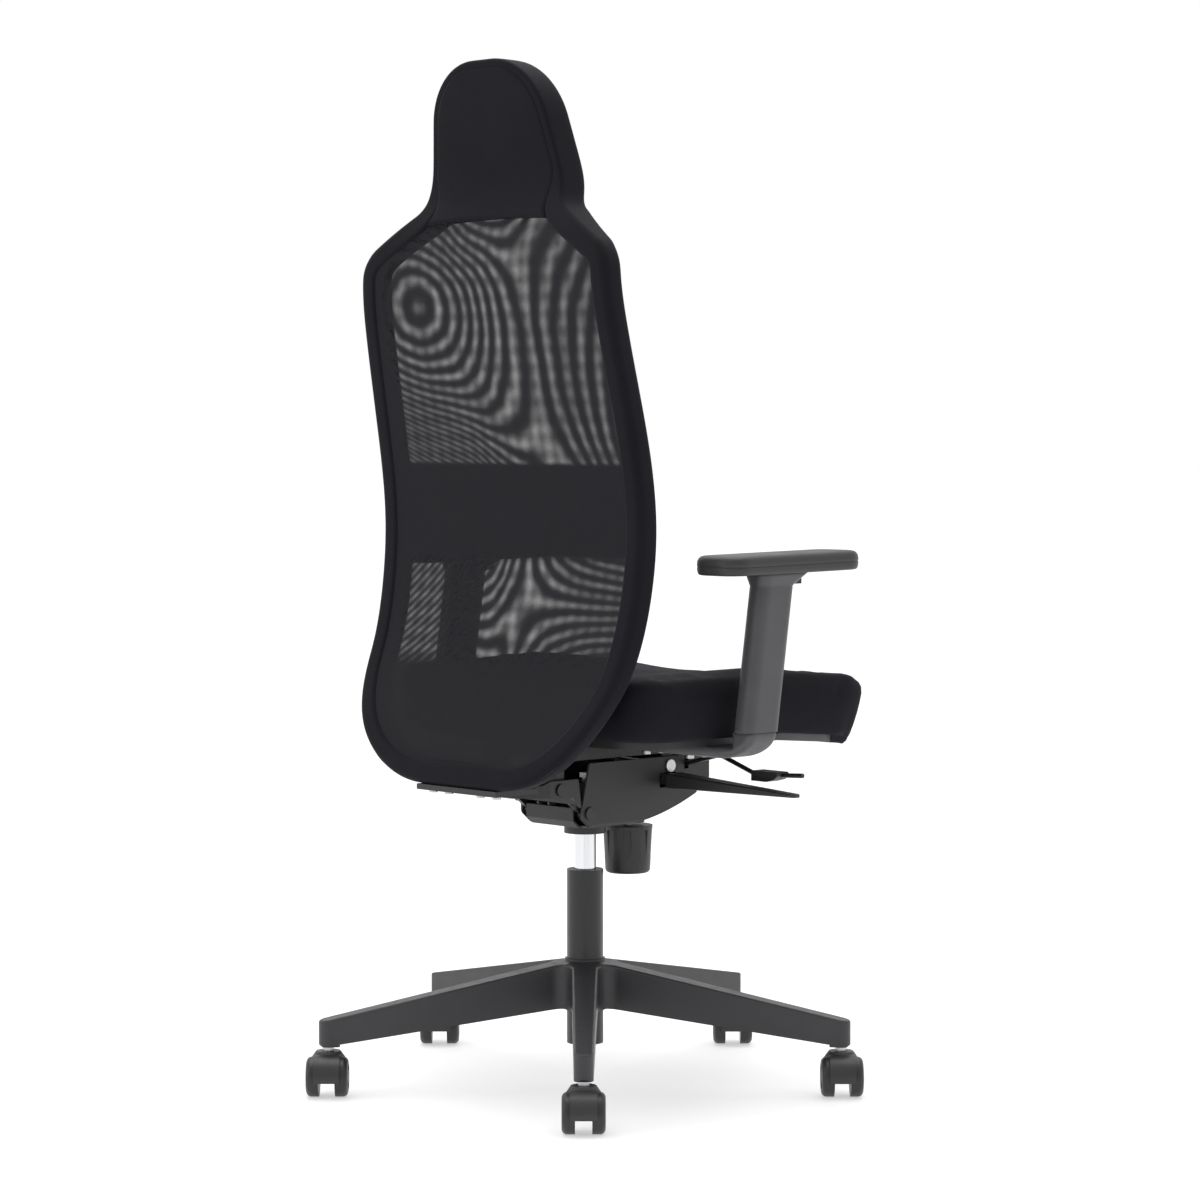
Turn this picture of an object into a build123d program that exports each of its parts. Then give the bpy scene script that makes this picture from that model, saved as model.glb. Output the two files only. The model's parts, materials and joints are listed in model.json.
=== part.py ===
from build123d import *
from math import acos, cos, degrees, pi, radians, sin, sqrt
import os

# Swivel office chair with a meshed high back, in millimetres.
# +Z is up, the floor is at z = 0, and the origin lies on the axis of the column.
# The sitter faces -Y, so -X is the sitter's right-hand side.

# Fits between pieces
turn_gap = 0.05
slide_gap = 0.4
rest_gap = 0.3
link_play = 0.7

# Casters
wheel_radius = 25.0
wheel_width = 16.0
wheel_space = 20.6
wheel_recess = 2.5
wheel_cap_radius = 9.0
wheel_edge = 6.5
axle_radius = 3.0
caster_trail = 18.0
caster_heading = 47.0
hood_wall = 2.3
hood_width = 33.0
hood_mouth = 20.5
collar_radius = 15.5
collar_foot_radius = 24.0
collar_height = 12.0
collar_rise = 2.5
stem_radius = 5.5
stem_in_hood = 26.0
stem_in_base = 28.0
stem_shoulder = 5.5
stem_shoulder_radius = 7.0

# Five-arm base
arm_count = 5
arm_heading = 136.7
stem_circle = 340.0
tip_overhang = 12.0
tip_height = 33.0
tip_half_width = 12.0
root_half_width = 16.5
root_round = 20.0
root_height = 62.0
hub_radius = 26.0
hub_height = 67.0
hub_rise = 30.0
base_wall = 4.0
base_edge = 3.0

# Gas lift column
tube_radius = 23.5
tube_wall = 2.0
tube_floor = 4.0
tube_drop = 43.0
tube_length = 225.0
bush_length = 60.0
bearing_radius = 14.0
bearing_height = 6.0
rod_radius = 5.0
rod_tail = 6.0
rod_collar_radius = 10.0
rod_collar_height = 4.0
rod_rise = 12.0
piston_height = 10.0
clip_radius = 9.0
clip_thickness = 2.0
clip_groove = 1.2
cylinder_radius = 14.0
cylinder_wall = 3.0
cylinder_guide = 10.0
cylinder_in_tube = 143.0
lift_show = 47.0
socket_depth = 66.0
socket_taper = 1.0
valve_radius = 4.0
valve_length = 19.0
valve_rise = 5.0
valve_room = 6.0

# Mechanism housing
housing_half_width = 58.0
housing_wall = 3.0
housing_front = 145.0
housing_height = 96.0
housing_floor_rise = 13.0
housing_nose_rise = 46.0
housing_edge = 5.0
cover_half_width = 44.0
cover_gap = 1.0
cover_thickness = 2.0
cover_rise = 39.0
guide_reach = 23.0
guide_width = 42.0
guide_height = 26.0
socket_radius = 27.0
pivot_radius = 5.0
pin_head = 2.5
pin_head_radius = 8.0
main_pivot_y = 46.0
main_pivot_rise = 32.0
front_pivot_y = -96.0
front_pivot_rise = 84.0

# Tension spring and its screw
spring_radius = 11.5
spring_wire = 2.0
spring_pitch = 5.5
spring_turns = 4
spring_start = 12.0
spring_front_leg = 132.0
spring_rear_leg = 27.0
knob_y = -76.0
knob_radius = 32.5
knob_foot_radius = 29.0
knob_height = 62.0
knob_gap = 4.0
knob_boss_radius = 22.0
knob_boss_rise = 32.0
knob_grip = 30.0
knob_flats = 8
knob_flat_depth = 2.5
knob_flat_half = 5.0
spindle_radius = 5.0
spindle_rise = 62.0
yoke_half_length = 48.0
yoke_width = 16.0
yoke_height = 8.0

# Levers on the sitter's right
lever_axis_x = -40.0
lever_axis_rise = 66.0
lever_y = -92.0
lever_reach = 249.0
lever_neck = 11.0
lever_height = 19.0
lever_tip_height = 4.0
lever_tip_drop = 4.0
lever_half_width = 14.0
lever_tip_half_width = 8.0
shaft_radius = 4.0
shaft_front = -118.0
shaft_rear = 18.0
knuckle_radius = 7.0
bearing_block = 8.0
finger_half_width = 5.0
finger_height = 6.0
lock_axis_x = -46.0
lock_y = -126.0
lock_axis_rise = 82.0
lock_wire = 3.0
lock_bend = 9.0
lock_crank = (74.0, 18.0)
lock_elbow = (140.0, -3.0)
lock_end = (220.0, 1.5)
paddle_length = 52.0
paddle_half_width = 11.0
paddle_height = 13.0

# Seat
seat_rise = 126.0
seat_half_width = 245.0
seat_front = 290.0
seat_rear = 128.0
cushion_height = 80.0
cushion_dish = 14.0
cushion_lip = 14.0
cushion_belly = 0.6
cushion_roll = 30.0
cushion_nose = 70.0
cushion_steps = 4
cushion_sink = 0.55
cushion_level = 0.8
cushion_rear_fall = 15.0
cushion_front_fall = 28.0
nose_rise = 58.0
lip_back = 24.0
lip_depth = 9.0
pan_thickness = 10.0
pan_inset = 20.0
pan_corner = 60.0
pan_bend = 122.0
pan_fall = 11.3
plate_thickness = 4.0
plate_half_width = 85.0
plate_front = 120.0
plate_rear = 126.0
flange_depth = 22.0
ear_offset = 50.0
ear_thickness = 3.5
ear_radius = 9.0
bolt_radius = 3.0
bolt_head_radius = 5.5
bolt_head = 4.0
bolt_bite = 7.0
plate_bolt_x = 70.0
plate_bolt_front = -90.0
plate_bolt_rear = 95.0

# Armrests
arm_x = 287.0
arm_lean = 0.15
arm_foot_y = -19.5
arm_foot_rise = 20.0
post_thickness = 32.0
post_depth = 60.0
post_corner = 14.0
bar_thickness = 14.0
bar_inner_x = 96.0
elbow_run = 65.0
elbow_depth = 48.0
elbow_edge = 8.0
upright_thickness = 18.0
upright_depth = 46.0
upright_corner = 5.0
upright_height = 134.0
sleeve_height = 196.0
sleeve_cap = 40.0
flare_height = 16.0
flare_thickness = 44.0
flare_depth = 84.0
flare_shift = 8.0
pad_length = 238.0
pad_width = 80.0
pad_thickness = 22.0
pad_tip = 0.8
pad_corner = 28.0
pad_edge = 8.0
pad_shift = 10.5
button_half_width = 9.0
button_height = 9.0
button_show = 6.0
button_seat = 12.0
button_travel = 4.0
button_drop = 10.0

# Back
carrier_rise = 73.0
carrier_half_width = 62.0
carrier_wall = 5.0
carrier_rear = 168.0
carrier_arm_inner = 46.0
carrier_arm_thickness = 6.0
carrier_depth = 14.0
carrier_taper = 16.0
carrier_shelf = 40.0
carrier_web = 11.0
flange_half_width = 75.0
flange_thickness = 7.0
flange_front = 150.0
link_y = 99.0
link_rise = 66.0
link_radius = 4.0
link_run = 13.0
link_clear = 3.0
back_height = 903.5
back_border = 30.0
back_depth = 30.0
head_front = 26.0
head_rear = 19.0
head_crown = 9.0
neck_height = 712.0
foot_half_width = 221.0
waist_half_width = 246.5
waist_height = 337.0
shoulder_half_width = 230.0
shoulder_height = 664.0
neck_half_width = 131.0
neck_corner_height = 726.0
crown_half_width = 91.0
foot_corner = 145.0
waist_corner = 2500.0
shoulder_corner = 50.0
neck_corner = 30.0
crown_corner = 90.0
frame_inset = 6.0
frame_width = 18.0
frame_depth = 18.0
mesh_thickness = 1.2
lumbar_low = 284.0
lumbar_high = 400.0
lumbar_depth = 8.0
back_bolt_x = (30.0, 60.0)
back_bolt_bite = 18.0

# Heights that follow from the sizes above
axle_height = wheel_radius
hood_top = 2 * wheel_radius + hood_wall + collar_rise
base_z = hood_top + stem_shoulder
hub_z = base_z + hub_rise
hub_top = hub_z + hub_height
tube_z = hub_z - tube_drop
tube_top = tube_z + tube_length
mech_z = tube_top + lift_show
housing_top = mech_z + housing_height
main_pivot_z = mech_z + main_pivot_rise
front_pivot_z = mech_z + front_pivot_rise
socket_top = mech_z + socket_depth
valve_top = socket_top + valve_rise
lever_z = mech_z + lever_axis_rise
lock_z = mech_z + lock_axis_rise
pan_z = mech_z + seat_rise
cushion_z = pan_z + pan_thickness
lip_front = seat_front - lip_back
pan_front = lip_front - lip_depth
flange_z = pan_z - plate_thickness
arm_foot_z = pan_z + arm_foot_rise
back_z = mech_z + carrier_rise
link_z = mech_z + link_rise

# The back's middle line from the side, as height above its foot and distance behind the column
back_line = (
    (-15, 208),
    (67, 190),
    (157, 149),
    (247, 125),
    (322, 119),
    (457, 136),
    (567, 158),
    (shoulder_height - 12, 166),
    (shoulder_height + 33, 156),
    (shoulder_height + 73, 138),
    (shoulder_height + 123, 139),
    (back_height + 4, 161),
)
back_foot_y = 205.0


def rod_x(radius, x0, x1, y, z):
    """Round bar along X."""
    return Pos((x0 + x1) / 2, y, z) * Rot(0, 90, 0) * Cylinder(radius, x1 - x0)


def rod_y(radius, y0, y1, x, z):
    """Round bar along Y."""
    return Pos(x, (y0 + y1) / 2, z) * Rot(90, 0, 0) * Cylinder(radius, y1 - y0)


def rod_z(radius, z0, z1, x=0, y=0):
    """Round bar along Z."""
    return Pos(x, y, (z0 + z1) / 2) * Cylinder(radius, z1 - z0)


def block(x0, x1, y0, y1, z0, z1):
    """Box between two corners."""
    return Pos((x0 + x1) / 2, (y0 + y1) / 2, (z0 + z1) / 2) * Box(x1 - x0, y1 - y0, z1 - z0)


def plate_yz(points, x0, x1):
    """Flat plate with its outline in the YZ plane."""
    face = make_face(Polyline(*points, close=True))
    return Pos(x0, 0, 0) * extrude(Plane.YZ * face, x1 - x0)


def plate_xz(points, y0, y1):
    """Flat plate with its outline in the XZ plane."""
    face = make_face(Polyline(*points, close=True))
    return Pos(0, y1, 0) * extrude(Plane.XZ * face, y1 - y0)


def plate_xy(points, z0, z1):
    """Flat plate with its outline in the XY plane."""
    face = make_face(Polyline(*points, close=True))
    return Pos(0, 0, z0) * extrude(face, z1 - z0)


def both_sides(solid):
    """The solid and its mirror image across the chair's middle plane."""
    return solid + mirror(solid, Plane.YZ)


# Base


def arm_plan(tip):
    """Plan of one arm along +X, with rounded forks beside its root and a half-round tip."""
    half_turn = pi / arm_count
    bisector = Vector(cos(half_turn), sin(half_turn))
    root_centre = bisector * ((root_round + root_half_width) / sin(half_turn))
    tip_centre = Vector(tip - tip_half_width, 0)
    span = root_centre - tip_centre
    lean = acos((root_round + tip_half_width) / span.length)
    normal = span.normalized().rotate(Axis.Z, -degrees(lean))
    fork = root_centre - bisector * root_round
    bend = root_centre - (bisector + normal).normalized() * root_round
    root = root_centre - normal * root_round
    shoulder = tip_centre + normal * tip_half_width
    upper = Curve() + [
        Line((0, 0), fork),
        ThreePointArc(fork, bend, root),
        Line(root, shoulder),
        ThreePointArc(shoulder, tip_centre + bisector * tip_half_width, (tip, 0)),
    ]
    return make_face(upper + mirror(upper, Plane.XZ))


def base_arm():
    """One arm of the base along +X, hollow from below."""
    tip = stem_circle + tip_overhang
    root_z = hub_top - root_height
    side = (
        (0, hub_top),
        (hub_radius, hub_top - base_edge),
        (tip, base_z + tip_height),
        (tip, base_z + base_edge),
        (tip - base_edge, base_z),
        (stem_circle - tip_half_width, base_z),
        (stem_circle - tip_overhang, base_z + base_edge),
        (hub_radius + tip_overhang, root_z),
        (0, root_z),
    )
    arm = plate_xz(side, -2 * root_half_width, 2 * root_half_width) & extrude(arm_plan(tip), hub_top)
    long_top = arm.edges().filter_by(lambda e: e.center().Z > hub_z).sort_by(Edge.length)[-2:]
    arm = fillet(long_top, base_edge)
    start = hub_radius + base_wall
    end = stem_circle - tip_half_width
    fall = (hub_top - base_z - tip_height) / (tip - hub_radius)
    roof_start = hub_top - base_edge - base_wall - fall * (start - hub_radius)
    roof_end = hub_top - base_edge - base_wall - fall * (end - hub_radius)
    hollow_side = ((start, 0), (start, roof_start), (end, roof_end), (end, 0))
    narrowing = (root_half_width - tip_half_width) / (tip - hub_radius)
    wide = root_half_width - base_wall - narrowing * (start - hub_radius)
    narrow = root_half_width - base_wall - narrowing * (end - hub_radius)
    hollow_plan = ((start, -wide), (end, -narrow), (end, narrow), (start, wide))
    hollow = plate_xz(hollow_side, -root_half_width, root_half_width)
    return arm - (hollow & plate_xy(hollow_plan, 0, hub_top))


def arm_angle(index):
    """Heading of one arm of the base, in degrees."""
    return arm_heading + 360.0 / arm_count * index


def star_base():
    """Nylon base: hub, arms, and the holes for the column and the caster stems."""
    base = rod_z(hub_radius, hub_z, hub_top)
    arm = base_arm()
    for index in range(arm_count):
        base += Rot(0, 0, arm_angle(index)) * arm
    base -= rod_z(tube_radius, 0, hub_top + hub_rise)
    for index in range(arm_count):
        hole = rod_z(stem_radius, base_z - hub_rise, base_z + stem_in_base, stem_circle)
        base -= Rot(0, 0, arm_angle(index)) * hole
    return base


def caster_stem():
    """Steel stem with a shoulder under the arm."""
    stem = rod_z(stem_radius, hood_top - stem_in_hood, base_z + stem_in_base)
    return stem + rod_z(stem_shoulder_radius, hood_top + rest_gap, base_z)


def at_caster(index, solid):
    """Place a solid, modelled about a stem's axis, at one arm tip."""
    angle = radians(arm_angle(index))
    place = Pos(stem_circle * cos(angle), stem_circle * sin(angle), 0)
    return place * Rot(0, 0, caster_heading) * solid


def caster_hood():
    """Hood between and over the two wheels, with the collar for the stem."""
    outer = wheel_radius + hood_wall
    half = hood_width / 2
    hood = rod_x(outer, -half, half, caster_trail, axle_height)
    collar = Cone(collar_foot_radius, collar_radius, collar_height)
    hood += Pos(0, 0, hood_top - collar_height / 2) * collar
    reach = outer + caster_trail
    hood -= block(-half, half, -reach, 2 * reach, -hood_mouth, hood_mouth)
    web_half = wheel_space / 2 - rest_gap
    open_top = axle_height + wheel_radius / 2
    for side in (-1, 1):
        inner = side * web_half
        far = side * 2 * half
        low, high = sorted((inner, far))
        hood -= rod_x(wheel_radius + slide_gap, low, high, caster_trail, axle_height)
        hood -= block(low, high, -reach, caster_trail - wheel_radius / 2, 0, open_top)
    hood -= rod_z(stem_radius + turn_gap, hood_top - stem_in_hood - rest_gap, hood_top + rest_gap)
    return hood - rod_x(axle_radius, -half, half, caster_trail, axle_height)


def caster_axle():
    """Steel axle through the hood and both wheels."""
    half = wheel_space / 2 + wheel_width - wheel_recess
    return rod_x(axle_radius, -half, half, caster_trail, axle_height)


def caster_wheel(side):
    """Wheel with a rounded rim and a capped hub, on the +X or -X side of the hood."""
    inner = wheel_space / 2
    outer = inner + wheel_width
    wheel = rod_x(wheel_radius, inner, outer, 0, 0)
    wheel = fillet(wheel.faces().sort_by(Axis.X)[-1].edges(), wheel_edge)
    dish = rod_x(wheel_radius - wheel_edge - hood_wall, outer - wheel_recess, outer, 0, 0)
    wheel -= dish - rod_x(wheel_cap_radius, outer - wheel_recess, outer, 0, 0)
    bore_end = outer - wheel_recess + rest_gap
    wheel -= rod_x(axle_radius + turn_gap, inner, bore_end, 0, 0)
    wheel = Pos(0, caster_trail, axle_height) * wheel
    return wheel if side > 0 else mirror(wheel, Plane.YZ)


# Column


def column_tube():
    """Outer tube with a floor that the thrust bearing stands on."""
    tube = rod_z(tube_radius, tube_z, tube_top)
    tube -= rod_z(tube_radius - tube_wall, tube_z + tube_floor, tube_top)
    return tube - rod_z(rod_radius + turn_gap, tube_z, tube_z + tube_floor)


def guide_bush():
    """Sleeve that guides the cylinder in the top of the tube."""
    bush = rod_z(tube_radius - tube_wall, tube_top - bush_length, tube_top)
    return bush - rod_z(cylinder_radius + turn_gap, tube_top - bush_length, tube_top)


def thrust_bearing():
    """Bearing ring round the rod, on the floor of the tube."""
    low = tube_z + tube_floor
    ring = rod_z(bearing_radius, low, low + bearing_height)
    return ring - rod_z(rod_radius + turn_gap, low, low + bearing_height)


def piston_rod():
    """Rod with its piston and the collar that turns on the bearing, and the clip under the tube."""
    collar_z = tube_z + tube_floor + bearing_height + turn_gap
    clip_top = tube_z - turn_gap
    clip_low = clip_top - clip_thickness
    top = tube_top + rod_rise
    rod = rod_z(rod_radius, tube_z - rod_tail, top)
    rod += rod_z(rod_collar_radius, collar_z, collar_z + rod_collar_height)
    rod += rod_z(cylinder_radius - cylinder_wall - turn_gap, top - piston_height, top)
    groove = rod_z(rod_radius, clip_low, clip_top) - rod_z(rod_radius - clip_groove, clip_low, clip_top)
    clip = rod_z(clip_radius, clip_low, clip_top)
    clip -= rod_z(rod_radius - clip_groove, clip_low, clip_top)
    return Compound([(rod - groove).solid(), clip.solid()])


def gas_cylinder():
    """Chromed cylinder whose tapered head sits in the socket of the housing."""
    low = tube_top - cylinder_in_tube
    body = rod_z(cylinder_radius, low, mech_z)
    head = Cone(cylinder_radius, cylinder_radius - socket_taper, socket_depth)
    body += Pos(0, 0, mech_z + socket_depth / 2) * head
    chamber = cylinder_radius - cylinder_wall
    valve_floor = valve_top - valve_length - valve_room
    body -= rod_z(chamber, low + cylinder_guide, valve_floor - cylinder_guide)
    body -= rod_z(rod_radius + turn_gap, low, low + cylinder_guide)
    return body - rod_z(valve_radius + turn_gap, valve_floor, socket_top)


def valve_pin():
    """Pin that releases the gas spring when it is pressed."""
    return rod_z(valve_radius, valve_top - valve_length, valve_top)


# Mechanism


def housing_outline(inset, rear, top):
    """Side outline of the housing: flat floor, curved rise to the nose, open top."""
    floor = mech_z + housing_floor_rise + inset
    nose = (inset - housing_front, mech_z + housing_nose_rise + inset)
    belly = (-socket_radius, floor)
    sag = (
        (nose[0] + belly[0]) / 2,
        (nose[1] + belly[1]) / 2 - housing_edge,
    )
    lines = Curve() + [
        Line((nose[0], top), nose),
        ThreePointArc(nose, sag, belly),
        Line(belly, (rear - housing_floor_rise, floor)),
        Line((rear - housing_floor_rise, floor), (rear, main_pivot_z - pin_head_radius)),
        Line((rear, main_pivot_z - pin_head_radius), (rear, main_pivot_z + pin_head_radius)),
        Line((rear, main_pivot_z + pin_head_radius), (rear - housing_floor_rise, top)),
        Line((rear - housing_floor_rise, top), (nose[0], top)),
    ]
    return Plane.YZ * make_face(lines)


def rear_cover(rear):
    """Cover behind the spring coils, between the arms of the carrier, rising from the floor."""
    floor = mech_z + housing_floor_rise
    inner = rear + cover_gap
    outer = inner + cover_thickness
    corner = floor + 3 * housing_wall
    top = mech_z + cover_rise
    side = (
        (rear - housing_floor_rise - housing_wall, floor),
        (rear - housing_floor_rise + 2 * housing_wall, floor),
        (outer, corner),
        (outer, top),
        (inner, top),
        (inner, corner + cover_gap),
        (rear - housing_floor_rise + housing_edge, floor + housing_wall),
        (rear - housing_floor_rise - housing_wall, floor + housing_wall),
    )
    return plate_yz(side, -cover_half_width, cover_half_width)


def spindle_place():
    """Lower and upper end of the tension screw."""
    return knob_top() - knob_grip, mech_z + spindle_rise


def knob_top():
    """Top of the tension knob, just under its boss."""
    return mech_z + housing_floor_rise - knob_gap - housing_edge


def mech_housing():
    """Tub with the column socket, the boss of the tension screw, and the bearings of the levers."""
    rear = main_pivot_y + pin_head_radius + housing_edge
    shell = extrude(housing_outline(0, rear, housing_top), housing_half_width, both=True)
    bottom = shell.edges().filter_by(lambda e: e.center().Z < main_pivot_z - pin_head_radius)
    long_bottom = bottom.filter_by(lambda e: abs(abs(e.center().X) - housing_half_width) < 0.01)
    shell = fillet(long_bottom, housing_edge)
    inner_half = housing_half_width - housing_wall
    room = extrude(housing_outline(housing_wall, 2 * rear, 2 * housing_top), inner_half, both=True)
    shell -= room
    shell += rear_cover(rear)
    guide_top = lock_z + bearing_block
    guide_x = guide_width - housing_half_width
    guide_front = -housing_front - guide_reach
    guide_low = guide_top - guide_height
    shell += block(-housing_half_width, guide_x, guide_front, -housing_front, guide_low, guide_top)
    shell += rod_z(socket_radius, mech_z, socket_top)
    boss_top = mech_z + knob_boss_rise
    shell += rod_z(knob_boss_radius, knob_top() + knob_gap, boss_top, 0, knob_y)
    wall_x = -inner_half
    shaft_x = lever_axis_x + knuckle_radius
    for y0 in (shaft_front, shaft_rear - bearing_block):
        low = lever_z - bearing_block
        shell += block(wall_x, shaft_x, y0, y0 + bearing_block, low, lever_z + bearing_block)
    lock_rear = shaft_front
    lock_x = lock_axis_x + bearing_block
    low = lock_z - bearing_block
    shell += block(wall_x, lock_x, lock_rear, lock_rear + bearing_block, low, lock_z + bearing_block)
    head = Cone(cylinder_radius, cylinder_radius - socket_taper, socket_depth)
    shell -= Pos(0, 0, mech_z + socket_depth / 2) * head
    low, high = spindle_place()
    shell -= rod_z(spindle_radius + turn_gap, low, high, 0, knob_y)
    shell -= rod_y(shaft_radius + turn_gap, shaft_front, shaft_rear, lever_axis_x, lever_z)
    shell -= rod_y(lock_wire + turn_gap, -housing_front, lock_rear + bearing_block, lock_axis_x, lock_z)
    half = housing_half_width
    shell -= rod_x(pivot_radius, -half, half, main_pivot_y, main_pivot_z)
    shell -= rod_x(pivot_radius, -half, half, front_pivot_y, front_pivot_z)
    window = lever_half_width + slide_gap
    reach = lever_neck / 2 + bearing_block / 2
    shell -= block(-2 * half, wall_x, lever_y - window, lever_y + window, lever_z - reach, lever_z + reach)
    gap = lock_wire + 2 * slide_gap
    shell -= block(-2 * half, wall_x, lock_y - gap, lock_y + gap, lock_z - gap, housing_top)
    return shell


def headed_pin(radius, half, y, z):
    """Pin across the chair with a head outside each wall."""
    pin = rod_x(radius, -half, half, y, z)
    head = rod_x(pin_head_radius, half, half + pin_head, y, z)
    return pin + both_sides(head)


def spring_top():
    """Height of the spring wire's middle line where its legs leave the coil."""
    return main_pivot_z + spring_radius


def tension_spring():
    """Pair of torsion springs on the main pivot, each one unbroken wire."""
    height = spring_pitch * spring_turns
    coil = Helix(spring_pitch, height, spring_radius)
    start, end = coil.position_at(0), coil.position_at(1)
    path = Wire(
        [
            Line(start - coil.tangent_at(0) * spring_rear_leg, start),
            coil,
            Line(end, end + coil.tangent_at(1) * spring_front_leg),
        ]
    )
    place = Plane((spring_start, main_pivot_y, main_pivot_z), x_dir=(0, 0, 1), z_dir=(1, 0, 0))
    section = Plane(path.position_at(0), z_dir=path.tangent_at(0)) * Circle(spring_wire)
    wire = place * sweep(section, path)
    print("least gap in the spring, mm:", round(spring_pitch - 2 * spring_wire, 2))
    return Compound([wire.solid(), mirror(wire, Plane.YZ).solid()])


def yoke_low():
    """Underside of the tension yoke, on the front legs of the spring."""
    return spring_top() + spring_wire + rest_gap


def tension_yoke():
    """Bar on the tension screw that holds the front legs of the spring down."""
    low = yoke_low()
    y0, y1 = knob_y - yoke_width / 2, knob_y + yoke_width / 2
    bar = block(-yoke_half_length, yoke_half_length, y0, y1, low, low + yoke_height)
    return bar - rod_z(spindle_radius + turn_gap, low, low + yoke_height, 0, knob_y)


def tension_spindle():
    """Screw from the knob up through the housing to the yoke."""
    low, high = spindle_place()
    return rod_z(spindle_radius, low, high, 0, knob_y)


def tension_knob():
    """Tapered knob on the lower end of the screw, with shallow finger flats."""
    top = knob_top()
    cone = Cone(knob_foot_radius, knob_radius, knob_height)
    knob = Pos(0, knob_y, top - knob_height / 2) * cone
    knob = fillet(knob.faces().sort_by(Axis.Z)[0].edges(), housing_edge)
    flat = knob_radius - knob_flat_depth
    low, high = top - knob_height, top - housing_edge
    cut = block(flat, 2 * knob_radius, -knob_flat_half, knob_flat_half, low, high)
    for turn in range(knob_flats):
        knob -= Pos(0, knob_y, 0) * Rot(0, 0, 360.0 / knob_flats * turn) * cut
    low, high = spindle_place()
    return knob - rod_z(spindle_radius, low, high, 0, knob_y)


# Levers


def lever_shaft():
    """Shaft of the height lever with the finger over the valve pin."""
    shaft = rod_y(shaft_radius, shaft_front, shaft_rear, lever_axis_x, lever_z)
    low = valve_top + rest_gap
    half = finger_half_width
    high = low + finger_height
    finger = block(lever_axis_x - shaft_radius, half, -half, half, low, high)
    heel = block(lever_axis_x - shaft_radius, lever_axis_x + shaft_radius, -half, half, lever_z, low)
    return shaft + finger + heel


def height_lever():
    """Flat tapered handle on the shaft, out through the side of the housing."""
    tip = lever_axis_x - lever_reach
    neck = -housing_half_width - bearing_block / 2
    full = neck - bearing_block
    tip_z = lever_z - lever_tip_drop
    side = (
        (lever_axis_x, lever_z + lever_neck / 2),
        (neck, lever_z + lever_neck / 2),
        (full, lever_z + lever_height / 2),
        (tip, tip_z + lever_tip_height / 2),
        (tip, tip_z - lever_tip_height / 2),
        (full, lever_z - lever_height / 2),
        (neck, lever_z - lever_neck / 2),
        (lever_axis_x, lever_z - lever_neck / 2),
    )
    wide, slim = lever_half_width, lever_tip_half_width
    neck_half = wide - housing_wall
    plan = (
        (lever_axis_x, lever_y - neck_half),
        (neck, lever_y - neck_half),
        (full, lever_y - wide),
        (tip + slim, lever_y - slim),
        (tip, lever_y - slim / 2),
        (tip, lever_y + slim / 2),
        (tip + slim, lever_y + slim),
        (full, lever_y + wide),
        (neck, lever_y + neck_half),
        (lever_axis_x, lever_y + neck_half),
    )
    low = lever_z - lever_height
    blade = plate_xz(side, lever_y - wide, lever_y + wide)
    blade &= plate_xy(plan, low, low + 2 * lever_height)
    outside = blade.edges().filter_by(lambda e: e.center().X < full and e.length > lever_reach / 2)
    blade = fillet(outside, lever_tip_height / 2 - slide_gap)
    blade += rod_y(knuckle_radius, lever_y - neck_half, lever_y + neck_half, lever_axis_x, lever_z)
    return blade - rod_y(shaft_radius, lever_y - wide, lever_y + wide, lever_axis_x, lever_z)


def lock_route():
    """Bends of the lock lever's wire, from its pivot to its free end."""
    return (
        (lock_axis_x, turn_gap - housing_front, lock_z),
        (lock_axis_x, lock_y, lock_z),
        (lock_axis_x - lock_crank[0], lock_y, lock_z + lock_crank[1]),
        (lock_axis_x - lock_elbow[0], lock_y, lock_z + lock_elbow[1]),
        (lock_axis_x - lock_end[0], lock_y, lock_z + lock_end[1]),
    )


def lock_lever():
    """Bent wire that locks the tilt."""
    path = FilletPolyline(*lock_route(), radius=lock_bend)
    section = Plane(path.position_at(0), z_dir=path.tangent_at(0)) * Circle(lock_wire)
    return sweep(section, path)


def lock_paddle():
    """Moulded paddle on the wire, deeper at its inner end."""
    x0, _, middle = lock_route()[3]
    x1 = x0 - paddle_length
    top = middle + paddle_height / 2
    low = top - paddle_height
    side = (
        (x0, low),
        (x0, top),
        (x1, top),
        (x1 + paddle_height, low + paddle_height / 4),
        (x0 - paddle_length / 2, low),
    )
    paddle = plate_xz(side, lock_y - paddle_half_width, lock_y + paddle_half_width)
    upright = paddle.edges().filter_by(lambda e: abs(e.tangent_at(0.5).Y) > 0.99)
    paddle = fillet(upright.sort_by(Axis.X)[:1], paddle_height / 4)
    return paddle - lock_lever()


# Seat


def seat_plate():
    """Channel under the pan, with round ears at the front pivot and slotted ears at the link pin."""
    plate = block(-plate_half_width, plate_half_width, -plate_front, plate_rear, flange_z, pan_z)
    flange_low = flange_z - flange_depth
    front_far = front_pivot_y - ear_radius
    rear_far = link_y + link_run + link_radius + ear_radius
    rear_near = link_y - link_radius - ear_radius
    inner, outer = ear_offset, ear_offset + ear_thickness
    flange = block(inner, outer, front_far, rear_far, flange_low, flange_z)
    flange += block(inner, outer, front_far, front_pivot_y + ear_radius, front_pivot_z, flange_z)
    flange += rod_x(ear_radius, inner, outer, front_pivot_y, front_pivot_z)
    flange += block(inner, outer, rear_near, rear_far, link_z - ear_radius, flange_z)
    flange -= rod_x(pivot_radius + turn_gap, inner, outer, front_pivot_y, front_pivot_z)
    slot_half = link_radius + link_play
    y0, y1 = link_y - link_play, link_y + link_run + link_play
    flange -= rod_x(slot_half, inner, outer, y0, link_z)
    flange -= rod_x(slot_half, inner, outer, y1, link_z)
    flange -= block(inner, outer, y0, y1, link_z - slot_half, link_z + slot_half)
    plate += both_sides(flange)
    return plate - plate_bolts(flange_z)


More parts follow.
